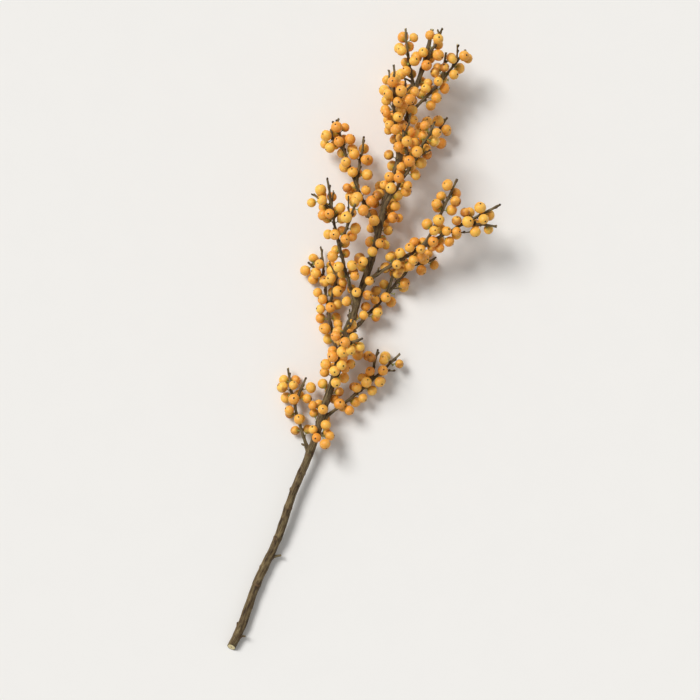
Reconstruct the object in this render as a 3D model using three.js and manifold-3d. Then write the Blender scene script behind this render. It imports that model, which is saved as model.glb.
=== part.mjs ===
// A cut branch of golden-berried winterberry, lying on a table. Millimetres, +Z up.
// The main stem runs along +Y from its slanting cut to its pruned tip. Side shoots leave it at
// branch collars, and round golden berries stand on short stalks all round the shoots.
// Every shoot is its own solid with its twigs and berries fused in, 0.3 mm clear of its collar.
import * as THREE from 'three';
import { mergeVertices } from 'three/addons/utils/BufferGeometryUtils.js';
import Module from 'manifold-3d';

const wasm = await Module();
wasm.setup();

// The cut end's place from the origin, which is the middle of the branch's outline on the table.
const CUT_END_X = -17.3;
const CUT_END_Y = -350.6;

// Main stem: a gentle S that rises from the table, held up by its lower shoots.
const STEM_LENGTH = 700;
const STEM_TIP_RADIUS = 1.9;
const STEM_BASE_RADIUS = 4.8;
const STEM_SWAY = 15;
const STEM_SWAY_TURN = 3.5;
const STEM_SWAY_START = 0.2;
const STEM_KINKS = 1.2;
const STEM_KINK_TURN = 41;
const STEM_RISE = 44;
const STEM_RISE_POWER = 1.2;
const STEM_DIPS = 0.9;
const STEM_DIP_TURN = 33;
const STEM_TAPER_POWER = 0.62;
const CUT_SLANT_DEG = 38;
const CUT_BLOCK = 60;

// Shoots and twigs thicken with their length, and swell at each bud.
const SHOOT_BASE_RADIUS = 1.35;
const SHOOT_RADIUS_PER_LENGTH = 0.0044;
const SHOOT_TIP_RADIUS = 1.15;
const NODE_SWELLING = 1.16;
const ZIGZAG = 1;
const ZIGZAG_BUILDS_UP = 25;
const COLLAR_FLARE = 1.3;
const COLLAR_SPARE = 0.6;
const JOINT_GAP = 0.3;
const TWIG_ROOT = 0.5;

// A shoot that would reach the table bends along it, held up by its berries.
const LYING_HEIGHT = 9;
const LYING_SOFTNESS = 8;
const LIFT_LENGTH = 30;

// Berries, and the stalks that carry them.
const BERRY_RADIUS = [5.1, 6.3];
const BERRY_LENGTH_SHARE = 0.96;
const STALK_LENGTH = [2.2, 4.4];
const STALK_RADIUS = 0.75;
const STALK_SPREAD_DEG = [52, 84];
const STALK_IN_WOOD = 0.7;
const STALK_IN_BERRY = 0.3;
const CLUSTER_SPREAD_DEG = 62;
const CLUSTER_JITTER_DEG = 9;
const TWO_BERRIES = 0.36;
const THREE_BERRIES = 0.1;
const BERRY_CLEARANCE = 0.5;
const SHORTEST_STALK = 1.2;
const OBSTACLE_STEP = 3;
const GOLDEN_ANGLE_DEG = 137.5;
const SEED = 20;

// Tries for a berry that has no room: turned round its shoot, then on a longer stalk.
const TRY_TURNS_DEG = [0, 26, -26, 52, -52, 78, -78];
const TRY_LONGER = [0, 1.8];

// at is a share of the bearer's length, around runs from its right side over its top in degrees,
// lean is the angle away from it and bow the turn along the shoot. Lengths are in millimetres.
const SHOOTS = [
  { at: 0.33, around: 196, lean: 46, bow: -16, length: 96 },
  { at: 0.385, around: 342, lean: 44, bow: -14, length: 112 },
  { at: 0.43, around: 98, lean: 36, bow: -12, length: 104 },
  { at: 0.475, around: 214, lean: 42, bow: -14, length: 132 },
  { at: 0.525, around: 322, lean: 40, bow: -12, length: 138 },
  { at: 0.57, around: 152, lean: 38, bow: -14, length: 142 },
  { at: 0.605, around: 14, lean: 38, bow: 6, length: 168 },
  { at: 0.65, around: 262, lean: 34, bow: -10, length: 92 },
  { at: 0.685, around: 184, lean: 40, bow: -16, length: 128 },
  { at: 0.725, around: 58, lean: 36, bow: -12, length: 112 },
  { at: 0.765, around: 312, lean: 38, bow: -12, length: 98 },
  { at: 0.8, around: 128, lean: 36, bow: -14, length: 104 },
  { at: 0.835, around: 226, lean: 38, bow: -12, length: 82 },
  { at: 0.87, around: 2, lean: 36, bow: -14, length: 90 },
  { at: 0.905, around: 166, lean: 34, bow: -12, length: 66 },
  { at: 0.94, around: 68, lean: 30, bow: -8, length: 50 },
];

// Twigs and short spurs that stay one body with what bears them; bearer 0 is the main stem.
const TWIGS = [
  { bearer: 4, at: 0.5, around: 40, lean: 38, bow: -8, length: 44 },
  { bearer: 5, at: 0.45, around: 150, lean: 36, bow: -8, length: 52 },
  { bearer: 6, at: 0.48, around: 30, lean: 34, bow: -6, length: 56 },
  { bearer: 7, at: 0.46, around: 168, lean: 34, bow: 4, length: 78 },
  { bearer: 9, at: 0.45, around: 20, lean: 36, bow: -6, length: 50 },
  { bearer: 10, at: 0.5, around: 190, lean: 36, bow: -6, length: 40 },
  { bearer: 1, at: 0.6, around: 20, lean: 42, bow: -6, length: 30 },
  { bearer: 2, at: 0.62, around: 160, lean: 40, bow: -6, length: 34 },
  { bearer: 3, at: 0.6, around: 30, lean: 40, bow: -6, length: 32 },
  { bearer: 4, at: 0.76, around: 215, lean: 42, bow: -4, length: 25 },
  { bearer: 5, at: 0.76, around: 330, lean: 40, bow: -4, length: 27 },
  { bearer: 6, at: 0.76, around: 200, lean: 40, bow: -4, length: 26 },
  { bearer: 7, at: 0.76, around: 20, lean: 38, bow: -4, length: 33 },
  { bearer: 8, at: 0.58, around: 100, lean: 40, bow: -6, length: 28 },
  { bearer: 9, at: 0.76, around: 205, lean: 38, bow: -4, length: 25 },
  { bearer: 11, at: 0.6, around: 150, lean: 38, bow: -6, length: 28 },
  { bearer: 12, at: 0.6, around: 20, lean: 38, bow: -6, length: 30 },
  { bearer: 14, at: 0.58, around: 170, lean: 38, bow: -6, length: 27 },
  { bearer: 0, at: 0.355, around: 60, lean: 58, bow: 0, length: 15 },
  { bearer: 0, at: 0.5, around: 12, lean: 58, bow: 0, length: 14 },
  { bearer: 0, at: 0.63, around: 110, lean: 56, bow: 0, length: 15 },
  { bearer: 0, at: 0.705, around: 330, lean: 56, bow: 0, length: 14 },
  { bearer: 0, at: 0.782, around: 20, lean: 56, bow: 0, length: 14 },
  { bearer: 0, at: 0.852, around: 90, lean: 52, bow: 0, length: 12 },
];

// Buds, where the berries stand: first and last as shares of the length, gap in millimetres.
const STEM_BUDS = { first: 0.36, last: 0.975, gap: 26 };
const SHOOT_BUDS = { first: 0.22, last: 0.9, gap: 12.2 };
const SPUR_BUDS = { first: 0.62, last: 1, gap: 4.5 };
const SPUR_LENGTH = 20;
const BUD_GAP_JITTER = 0.18;

const STEM_SIDES = 8;
const SHOOT_SIDES = 6;
const STALK_SIDES = 3;
const BARE_STEM_STEP = 42;

const BARK = new THREE.MeshStandardMaterial({ color: 0x5a4a37, roughness: 0.85, metalness: 0 });
const BERRY = new THREE.MeshStandardMaterial({ color: 0xf0a63c, roughness: 0.45, metalness: 0 });

const UP = new THREE.Vector3(0, 0, 1);
const POLE = new THREE.Vector3(0, 1, 0);
const radians = THREE.MathUtils.degToRad;

// Turning an icosahedron by this about X brings the middle of a facet onto each pole.
const FACET_TO_POLE = Math.atan(2 / (3 + Math.sqrt(5)));

// Park and Miller's minimal generator, so that a seed always grows the same branch.
function draws(seed) {
  const modulus = 2147483647;
  let state = (seed * 7919 + 104729) % modulus;
  return (low, high) => {
    state = (state * 16807) % modulus;
    return low + (high - low) * (state / modulus);
  };
}

// The direction of an axis at distance s, and its right and upper sides.
function frameAt(axis, s) {
  const ahead = axis.point(s + 0.5).sub(axis.point(s - 0.5)).normalize();
  const right = ahead.clone().cross(UP).normalize();
  const upper = right.clone().cross(ahead);
  return { ahead, right, upper, point: axis.point(s) };
}

function outward(frame, aroundDeg) {
  const turn = radians(aroundDeg);
  return frame.right.clone().multiplyScalar(Math.cos(turn))
    .addScaledVector(frame.upper, Math.sin(turn));
}

function mainStem() {
  const length = STEM_LENGTH;
  return {
    length,
    point(s) {
      const t = s / length;
      const sway = Math.sin(STEM_SWAY_TURN * t + STEM_SWAY_START) - Math.sin(STEM_SWAY_START);
      const rise = Math.max(t, 0) ** STEM_RISE_POWER;
      return new THREE.Vector3(
        STEM_SWAY * sway + STEM_KINKS * Math.sin(STEM_KINK_TURN * t),
        s,
        STEM_BASE_RADIUS + STEM_RISE * rise + STEM_DIPS * Math.sin(STEM_DIP_TURN * t),
      );
    },
    radius(s) {
      const left = Math.max(1 - s / length, 0);
      return STEM_TIP_RADIUS + (STEM_BASE_RADIUS - STEM_TIP_RADIUS) * left ** STEM_TAPER_POWER;
    },
  };
}

// A shoot is an arc in the plane of its bearer's direction and its own outward side, with a
// zigzag across that plane that bends at the buds, lifted smoothly where it would sink to the table.
function sideShoot({ at, around, lean, bow, length }, bearer) {
  const frame = frameAt(bearer, at * bearer.length);
  const out = outward(frame, around);
  const across = frame.ahead.clone().cross(out);
  const start = radians(lean);
  const curl = radians(bow || 0.01) / length;
  const baseRadius = SHOOT_BASE_RADIUS + SHOOT_RADIUS_PER_LENGTH * length;
  return {
    length,
    bearer,
    foot: at * bearer.length,
    lean: start,
    point(s) {
      const angle = start + curl * s;
      const along = (Math.sin(angle) - Math.sin(start)) / curl;
      const away = (Math.cos(start) - Math.cos(angle)) / curl;
      const beat = Math.PI * (s - SHOOT_BUDS.first * length) / SHOOT_BUDS.gap;
      const zigzag = ZIGZAG * (Math.asin(Math.cos(beat)) * 2 / Math.PI) * Math.min(s / ZIGZAG_BUILDS_UP, 1);
      const p = frame.point.clone().addScaledVector(frame.ahead, along)
        .addScaledVector(out, away).addScaledVector(across, zigzag);
      const above = p.z - LYING_HEIGHT;
      const lift = (Math.sqrt(above * above + LYING_SOFTNESS ** 2) - above) / 2;
      p.z += lift * THREE.MathUtils.smoothstep(s, 0, LIFT_LENGTH);
      return p;
    },
    radius(s) {
      return baseRadius + (SHOOT_TIP_RADIUS - baseRadius) * THREE.MathUtils.clamp(s / length, 0, 1);
    },
  };
}

// How far along a shoot its whole section is clear of its bearer's surface.
function collarEnd(shoot) {
  const bearerRadius = shoot.bearer.radius(shoot.foot) * NODE_SWELLING;
  const ownRadius = shoot.radius(0) * COLLAR_FLARE;
  return (bearerRadius + ownRadius * Math.cos(shoot.lean)) / Math.sin(shoot.lean) + COLLAR_SPARE;
}

function budPlaces(axis, { first, last, gap }, draw) {
  const places = [];
  for (let s = first * axis.length; s <= last * axis.length; s += gap) {
    places.push(s + gap * draw(-BUD_GAP_JITTER, BUD_GAP_JITTER));
  }
  return places;
}

// Wood, berries and stalks already in place, as spheres that a new berry keeps clear of.
const obstacles = [];

function addWoodObstacles(axis) {
  for (let s = 0; s <= axis.length; s += OBSTACLE_STEP) {
    obstacles.push({ point: axis.point(s), radius: axis.radius(s) * NODE_SWELLING });
  }
}

function isClear(point, radius) {
  return obstacles.every((other) => {
    const clearance = point.distanceTo(other.point) - radius - other.radius;
    return clearance >= BERRY_CLEARANCE;
  });
}

// A berry at the end of its stalk, moved up where it would reach through the table.
function berryAt(frame, twigRadius, around, spreadDeg, stalk, radius) {
  const out = outward(frame, around);
  const root = frame.point.clone().addScaledVector(out, twigRadius);
  const spread = radians(spreadDeg);
  const direction = frame.ahead.clone().multiplyScalar(Math.cos(spread))
    .addScaledVector(out, Math.sin(spread));
  const centre = root.clone().addScaledVector(direction, stalk + radius);
  centre.z = Math.max(centre.z, radius);
  const reach = centre.distanceTo(root);
  direction.subVectors(centre, root).normalize();
  return { root, centre, direction, radius, stalk: reach - radius, inside: twigRadius };
}

function placeBerry(frame, twigRadius, around, spread, stalk, radius) {
  for (const longer of TRY_LONGER) {
    for (const turn of TRY_TURNS_DEG) {
      const berry = berryAt(frame, twigRadius, around + turn, spread, stalk + longer, radius);
      const halfway = berry.root.clone().addScaledVector(berry.direction, berry.stalk / 2);
      const stalkIsFree = obstacles.every((other) => !other.isBerry
        || halfway.distanceTo(other.point) >= other.radius + STALK_RADIUS);
      if (berry.stalk >= SHORTEST_STALK && stalkIsFree && isClear(berry.centre, radius)) {
        obstacles.push({ point: berry.centre, radius, isBerry: true });
        obstacles.push({ point: halfway, radius: STALK_RADIUS });
        return berry;
      }
    }
  }
  return null;
}

// The berries of one axis: one to three at each bud, buds turned by the golden angle.
function growBerries(axis, buds, draw) {
  const berries = [];
  const firstTurn = draw(0, 360);
  buds.forEach((s, index) => {
    const frame = frameAt(axis, s);
    const twigRadius = axis.radius(s);
    const luck = draw(0, 1);
    const count = 1 + (luck < TWO_BERRIES) + (luck < THREE_BERRIES);
    for (let k = 0; k < count; k += 1) {
      const around = firstTurn + GOLDEN_ANGLE_DEG * index
        + CLUSTER_SPREAD_DEG * (k - (count - 1) / 2) + draw(-CLUSTER_JITTER_DEG, CLUSTER_JITTER_DEG);
      const spread = draw(...STALK_SPREAD_DEG);
      const stalk = draw(...STALK_LENGTH);
      const radius = draw(...BERRY_RADIUS);
      const berry = placeBerry(frame, twigRadius, around, spread, stalk, radius);
      if (berry) berries.push(berry);
    }
  });
  return berries;
}

function solidOf(geometry) {
  const bare = geometry.clone();
  bare.deleteAttribute('normal');
  bare.deleteAttribute('uv');
  const merged = mergeVertices(bare, 1e-4);
  return new wasm.Manifold(new wasm.Mesh({
    numProp: 3,
    vertProperties: merged.attributes.position.array,
    triVerts: new Uint32Array(merged.index.array),
  }));
}

function geometryOf(solid) {
  const mesh = solid.getMesh();
  const geometry = new THREE.BufferGeometry();
  geometry.setAttribute('position', new THREE.BufferAttribute(mesh.vertProperties, 3));
  geometry.setIndex(new THREE.BufferAttribute(mesh.triVerts, 1));
  return geometry;
}

// A closed cylinder bent along an axis: each station has its own distance and radius.
function bentTube(axis, stations, sides) {
  const geometry = new THREE.CylinderGeometry(1, 1, 1, sides, stations.length - 1);
  const places = geometry.attributes.position;
  for (let i = 0; i < places.count; i += 1) {
    const station = stations[Math.round((0.5 + places.getY(i)) * (stations.length - 1))];
    const frame = frameAt(axis, station.s);
    const p = frame.point.clone()
      .addScaledVector(frame.right, places.getX(i) * station.radius)
      .addScaledVector(frame.upper, places.getZ(i) * station.radius);
    places.setXYZ(i, p.x, p.y, p.z);
  }
  return solidOf(geometry);
}

// Stations at each bud, where the wood swells, and at both ends.
function budStations(axis, buds, from, to) {
  const inside = buds.filter((s) => s > from + 4 && s < to - 4);
  return [
    { s: from, radius: axis.radius(from) },
    ...inside.map((s) => ({ s, radius: axis.radius(s) * NODE_SWELLING })),
    { s: to, radius: axis.radius(to) },
  ];
}

// A faceted berry, as wide as the real one at its corners. Its stalk meets the middle of a facet.
function berrySolid(berry) {
  const geometry = new THREE.IcosahedronGeometry(1);
  geometry.rotateX(FACET_TO_POLE);
  const size = new THREE.Vector3(berry.radius, berry.radius * BERRY_LENGTH_SHARE, berry.radius);
  const turn = new THREE.Quaternion().setFromUnitVectors(POLE, berry.direction);
  geometry.applyMatrix4(new THREE.Matrix4().compose(berry.centre, turn, size));
  return solidOf(geometry);
}

function stalkSolid(berry) {
  const start = -STALK_IN_WOOD * berry.inside;
  const end = berry.stalk + STALK_IN_BERRY * berry.radius;
  const geometry = new THREE.CylinderGeometry(STALK_RADIUS, STALK_RADIUS, end - start, STALK_SIDES);
  geometry.translate(0, (start + end) / 2, 0);
  const turn = new THREE.Quaternion().setFromUnitVectors(POLE, berry.direction);
  geometry.applyMatrix4(new THREE.Matrix4().compose(berry.root, turn, new THREE.Vector3(1, 1, 1)));
  return solidOf(geometry);
}

// The swollen foot that a bearer holds out to a shoot, from its own middle to the collar's face.
function collarSolid(shoot) {
  const end = collarEnd(shoot);
  const width = shoot.radius(0) * COLLAR_FLARE;
  return bentTube(shoot, [{ s: TWIG_ROOT, radius: width }, { s: end, radius: width }], SHOOT_SIDES);
}

// What the cut takes away: the toe of the slant is the stem's lowest point.
function slantingCut(axis) {
  const box = new THREE.BoxGeometry(CUT_BLOCK, CUT_BLOCK, CUT_BLOCK);
  box.translate(0, -CUT_BLOCK / 2, 0);
  box.rotateX(-radians(CUT_SLANT_DEG));
  const heel = axis.point(0);
  box.translate(heel.x, STEM_BASE_RADIUS * Math.tan(radians(CUT_SLANT_DEG)), heel.z);
  return solidOf(box);
}

const stem = mainStem();
const shoots = SHOOTS.map((row) => sideShoot(row, stem));
const bearers = [stem, ...shoots];
const twigs = TWIGS.map((row) => Object.assign(sideShoot(row, bearers[row.bearer]), { on: row.bearer }));
[...bearers, ...twigs].forEach(addWoodObstacles);

function budRule(axis) {
  if (axis === stem) return STEM_BUDS;
  return axis.length < SPUR_LENGTH ? SPUR_BUDS : SHOOT_BUDS;
}

const growing = [...shoots, ...twigs, stem].map((axis, index) => {
  const draw = draws(SEED + index);
  const buds = budPlaces(axis, budRule(axis), draw);
  return { axis, buds, berries: growBerries(axis, buds, draw) };
});
const growthOf = (axis) => growing.find((growth) => growth.axis === axis);

function woodSolid(axis, from) {
  const { buds } = growthOf(axis);
  const sides = axis === stem ? STEM_SIDES : SHOOT_SIDES;
  const stations = budStations(axis, buds, from, axis.length);
  if (axis === stem) {
    for (let s = BARE_STEM_STEP; s < buds[0] - BARE_STEM_STEP / 2; s += BARE_STEM_STEP) {
      stations.push({ s, radius: axis.radius(s) });
    }
    stations.sort((one, other) => one.s - other.s);
  }
  return bentTube(axis, stations, sides);
}

// The stem's wood starts at its cut, a side shoot's past its collar, and a twig's in its bearer.
function woodStart(axis, bearer) {
  if (axis === stem) return 0;
  return axis === bearer ? collarEnd(axis) + JOINT_GAP : TWIG_ROOT;
}

// Everything that is one body with a bearer: its wood, twigs, berries, stalks and collars.
function bearerSolid(bearer, index) {
  const own = [bearer, ...twigs.filter((twig) => twig.on === index)];
  const parts = own.flatMap((axis) => {
    const { berries } = growthOf(axis);
    return [woodSolid(axis, woodStart(axis, bearer)), ...berries.map(berrySolid), ...berries.map(stalkSolid)];
  });
  if (bearer === stem) parts.push(...shoots.map(collarSolid));
  const joined = wasm.Manifold.union(parts);
  return bearer === stem ? joined.subtract(slantingCut(stem)) : joined;
}

const branch = new THREE.Group();
bearers.forEach((bearer, index) => {
  const material = bearer === stem ? BARK : BERRY;
  const mesh = new THREE.Mesh(geometryOf(bearerSolid(bearer, index)), material);
  mesh.name = index ? `side_shoot_${String(index).padStart(2, '0')}` : 'main_stem';
  branch.add(mesh);
});
branch.position.set(CUT_END_X, CUT_END_Y, 0);

export default branch;
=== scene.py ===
"""The finish of a cut, leafless branch of golden winterberry that lies on a pale table.

The stem, its shoots and their berries are grown here from the same sizes, rules and seeds as their
solids, so each surface lies on the solid that it stands for. The growth rules are in millimetres
and the meshes in metres. Each operator makes one kind of piece, and main() calls them in order.
"""
import math
from functools import lru_cache

import bpy
import numpy as np
from bpy.props import FloatProperty, FloatVectorProperty, PointerProperty
from mathutils import Matrix, Vector


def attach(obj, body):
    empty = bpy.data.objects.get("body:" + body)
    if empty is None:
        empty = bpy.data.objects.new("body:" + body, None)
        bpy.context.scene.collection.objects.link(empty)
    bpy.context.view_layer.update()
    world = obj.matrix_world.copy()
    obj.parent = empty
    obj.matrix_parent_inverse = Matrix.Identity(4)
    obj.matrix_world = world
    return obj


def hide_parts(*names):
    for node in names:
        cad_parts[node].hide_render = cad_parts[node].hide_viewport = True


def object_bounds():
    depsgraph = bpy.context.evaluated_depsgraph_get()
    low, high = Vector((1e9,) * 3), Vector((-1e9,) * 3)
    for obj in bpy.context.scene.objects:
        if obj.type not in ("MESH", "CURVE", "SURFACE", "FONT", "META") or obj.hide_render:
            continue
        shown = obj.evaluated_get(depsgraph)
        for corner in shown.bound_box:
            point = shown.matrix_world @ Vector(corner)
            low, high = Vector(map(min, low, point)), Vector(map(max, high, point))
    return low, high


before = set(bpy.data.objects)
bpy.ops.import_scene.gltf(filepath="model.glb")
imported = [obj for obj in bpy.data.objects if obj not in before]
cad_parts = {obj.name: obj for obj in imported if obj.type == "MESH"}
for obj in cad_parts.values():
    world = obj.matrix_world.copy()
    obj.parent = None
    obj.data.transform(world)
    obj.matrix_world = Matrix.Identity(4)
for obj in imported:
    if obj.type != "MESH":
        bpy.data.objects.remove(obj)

bl_info = {
    "name": "Golden winterberry branch",
    "version": (1, 0, 0),
    "blender": (4, 5, 0),
    "location": "View3D > Sidebar > Winterberry",
    "description": "Bark, buds, berries and stalks for a cut branch of golden winterberry",
    "category": "Object",
}

CAD_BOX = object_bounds()
BODY = "root"
MM = 0.001
TURN = 2 * math.pi

# The cut end's place from the origin, in millimetres, as in the solids.
CUT_END = np.array([-17.3, -350.6, 0.0])

# How far to each side an axis's direction is measured.
FRAME_REACH = 0.5

# Main stem, as in the solids.
STEM_LENGTH = 700.0
STEM_TIP_RADIUS = 1.9
STEM_BASE_RADIUS = 4.8
STEM_SWAY = 15.0
STEM_SWAY_TURN = 3.5
STEM_SWAY_START = 0.2
STEM_KINKS = 1.2
STEM_KINK_TURN = 41.0
STEM_RISE = 44.0
STEM_RISE_POWER = 1.2
STEM_DIPS = 0.9
STEM_DIP_TURN = 33.0
STEM_TAPER_POWER = 0.62
CUT_SLANT = math.radians(38)

# Shoots and twigs, as in the solids.
SHOOT_BASE_RADIUS = 1.35
SHOOT_RADIUS_PER_LENGTH = 0.0044
SHOOT_TIP_RADIUS = 1.15
NODE_SWELLING = 1.16
ZIGZAG = 1.0
ZIGZAG_BUILDS_UP = 25.0
NEARLY_STRAIGHT_DEG = 0.01
LYING_HEIGHT = 9.0
LYING_SOFTNESS = 8.0
LIFT_LENGTH = 30.0

# Berries and stalks, as in the solids.
STALK_RADIUS = 0.75
CLUSTER_SPREAD_DEG = 62
CLUSTER_JITTER_DEG = 9
TWO_BERRIES = 0.36
THREE_BERRIES = 0.1
BERRY_CLEARANCE = 0.5
SHORTEST_STALK = 1.2
OBSTACLE_STEP = 3
GOLDEN_ANGLE_DEG = 137.5
TRY_TURNS_DEG = (0, 26, -26, 52, -52, 78, -78)
TRY_LONGER = (0, 1.8)

# at is a share of the bearer's length, around runs from its right side over its top in degrees,
# lean is the angle away from it and bow the turn along the shoot, in degrees too. A twig's bearer
# is 0 for the main stem, or else a shoot's number. These rows are the solids' rows.
ROW = ("at", "around", "lean", "bow", "length")
SHOOTS = [dict(zip(ROW, row)) for row in (
    (0.33, 196, 46, -16, 96), (0.385, 342, 44, -14, 112), (0.43, 98, 36, -12, 104),
    (0.475, 214, 42, -14, 132), (0.525, 322, 40, -12, 138), (0.57, 152, 38, -14, 142),
    (0.605, 14, 38, 6, 168), (0.65, 262, 34, -10, 92), (0.685, 184, 40, -16, 128),
    (0.725, 58, 36, -12, 112), (0.765, 312, 38, -12, 98), (0.8, 128, 36, -14, 104),
    (0.835, 226, 38, -12, 82), (0.87, 2, 36, -14, 90), (0.905, 166, 34, -12, 66),
    (0.94, 68, 30, -8, 50))]
TWIGS = [dict(zip(("bearer", *ROW), row)) for row in (
    (4, 0.5, 40, 38, -8, 44), (5, 0.45, 150, 36, -8, 52), (6, 0.48, 30, 34, -6, 56),
    (7, 0.46, 168, 34, 4, 78), (9, 0.45, 20, 36, -6, 50), (10, 0.5, 190, 36, -6, 40),
    (1, 0.6, 20, 42, -6, 30), (2, 0.62, 160, 40, -6, 34), (3, 0.6, 30, 40, -6, 32),
    (4, 0.76, 215, 42, -4, 25), (5, 0.76, 330, 40, -4, 27), (6, 0.76, 200, 40, -4, 26),
    (7, 0.76, 20, 38, -4, 33), (8, 0.58, 100, 40, -6, 28), (9, 0.76, 205, 38, -4, 25),
    (11, 0.6, 150, 38, -6, 28), (12, 0.6, 20, 38, -6, 30), (14, 0.58, 170, 38, -6, 27),
    (0, 0.355, 60, 58, 0, 15), (0, 0.5, 12, 58, 0, 14), (0, 0.63, 110, 56, 0, 15),
    (0, 0.705, 330, 56, 0, 14), (0, 0.782, 20, 56, 0, 14), (0, 0.852, 90, 52, 0, 12))]
STEM_BUDS = dict(first=0.36, last=0.975, gap=26)
SHOOT_BUDS = dict(first=0.22, last=0.9, gap=12.2)
SPUR_BUDS = dict(first=0.62, last=1, gap=4.5)
SPUR_LENGTH = 20
BUD_GAP_JITTER = 0.18

# Where each kind of draw starts. The branch's own seed is the solids' seed.
SEED = 20
LATE_SEED = 400
FINISH_SEED = 900
TIP_SEED = 1300
BARK_SEED = 2000
BUD_SEED = 2700
SKIN_SEED = 3100
STALK_SEED = 3600
EYE_SEED = 4100
TWIG_SEED = 4700

# Spans that the growth draws from, in the order of the draws. Only the berries' are the solids' too.
BERRY_DRAWS = dict(spread=(52, 84), stalk=(2.2, 4.4), radius=(5.1, 6.3))
LATE_DRAWS = dict(luck=(0, 1), turn=(-70, 70), spread=(42, 86), stalk=(1.8, 4.6), radius=(4.9, 6.1))
STUB_DRAWS = dict(luck=(0, 1), lean=(42, 72), length=(3, 9), thickness=(0.75, 1.15))
TWIG_DRAWS = dict(luck=(0, 1), turn=(-50, 50), lean=(26, 46), length=(13, 34), thickness=(0.72, 0.92),
                  kink=(0.45, 0.62), bend=(-0.45, 0.45))
PRONG_DRAWS = dict(luck=(0, 1), around=(0, 360), lean=(26, 46), length=(3.2, 5.6))
EMPTY_DRAWS = dict(luck=(0, 1), turn=(60, 300), spread=(52, 84), stalk=(2.2, 4.4))
BUD_DRAWS = dict(size=(0.95, 1.6), lean=(24, 48))

# What the solids leave out: later berries at the buds and between them, the bare nodes of older
# wood, dead stubs, prongs at the tips, thin bare twigs, and fruit stalks without a berry.
LATE_CLEARANCE = 0.15
LATE_AT_BUD = 0.85
LATE_BETWEEN = 0.95
LATE_SECOND = 0.45
OLD_NODE_GAP = 19.0
OLD_NODE_FIRST = 16.0
NODE_FIRST = 7.0
NODES_END_BELOW = 0.6
NODES_GO_ON = 0.7
NODES_GO_ON_GAP = 0.8
NODES_END_AT_TIP = 3
NODE_JITTER = 0.3
STUB_SHARE = 0.42
STUB_AT_FRUIT = 0.24
STUB_TAPER = 0.25
STUB_ROOM = 0.5
STUB_CLEARANCE = 0.2
STUB_BELOW_TIP = 6
BARE_TWIG_SHARE = 0.55
BARE_TWIG_AT = (0.4, 0.97)
BARE_TWIG_LAST_NODE = 0.3
BARE_TWIG_TAPER = 0.2
BARE_TWIG_CLEARANCE = 0.4
BARE_TWIG_CHECKS = np.linspace(0.35, 1.0, 8)
PRONG_SHARE = 0.4
PRONG_BELOW_TIP = 1.4
PRONG_THICKNESS = 0.8
PRONG_REACH = 1.0
PRONG_ROOM = 1.2
EMPTY_SHARE = 0.14
EMPTY_HUG = 3.0
EMPTY_HEIGHT = 2
EMPTY_ROOM = 1.5
EMPTY_CLEARANCE = 0.6
ROD_CHECKS = np.linspace(0.2, 1.0, 6)[:, None, None]
PRUNED = 0.6
TIP_SLANT_DEG = (4, 30)
TIP_FRESH = (0.0, 0.9)

# Wood meshes, in millimetres: rings, the relief of nodes, feet and tips.
STEM_SIDES = 24
STEM_STEP = 1.8
SHOOT_SIDES = 14
SHOOT_STEP = 1.3
STUB_SIDES = 8
STUB_STEP = 1.2
CLOSEST_RINGS = 0.32
LEDGE_RINGS = (-2.6, -1.3, -0.5, 0.2, 0.9, 1.8)
LEDGE_RISE = (-2.6, -0.2)
LEDGE_FALL = (0.2, 1.1)
LEDGE_HEIGHT = 0.75
LEDGE_SIDE = 0.75
NODE_SIZE = (0.8, 0.35)
NODE_WIDTH = (0.8, 0.4)
SWELL = 0.2
SWELL_WIDTH = 2.1
OLD_SMOOTHS = 0.72
# How much the darker rings at the nodes fade on old wood and how dark they are, off and on the leaf scar's
# side; then how far the painted shade in each crotch reaches along the shoot and round it.
OLD_NODE_RINGS_FADE = 0.8
NODE_RING_DARKNESS = (0.35, 0.65)
CROTCH_SHADE = 2.6
CROTCH_SIDE = (-0.2, 0.9)
BULGE_HEIGHT = 0.9
BULGE_LENGTH = 5.0
BULGE_BACK = 1.0
BULGE_SIDE = 0.8
RIDGES = ((2, 0.03, 0.11), (3, 0.022, -0.07), (5, 0.018, 0.05), (1, 0.03, 0.31))
RELIEF_STARTS = 3
FOOT_IN_BEARER = 0.7
FOOT_FLARE = 0.3
FOOT_SETTLES = 4.5
FOOT_AGE_FADES = 7.0
SMALLEST_LEAN = 0.4
HEEL_EARLIEST = 0.35
HEEL = 1.9
HEEL_SETTLES = 5.0
TIP_RINGS = np.array([1.2, 0.5, 0.12, 0.0])
TIP_CUT = (1.04, 1.1, 1.12, 1.0)
TIP_ROUND = (0.92, 0.76, 0.5, 0.25)
TIP_SLANT_LENGTH = 6
CUT_FADES = 20.0
TABLE_GAP = 0.01
BROKEN = dict(cut=True, slant=0.5, turn=1.0)

# Small shapes, in millimetres or as shares of the shape's own size.
CUT_SIDES = 24
CUT_RINGS = ((-0.3, 1.0), (0.03, 1.0), (0.08, 0.95), (0.1, 0.5))
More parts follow.
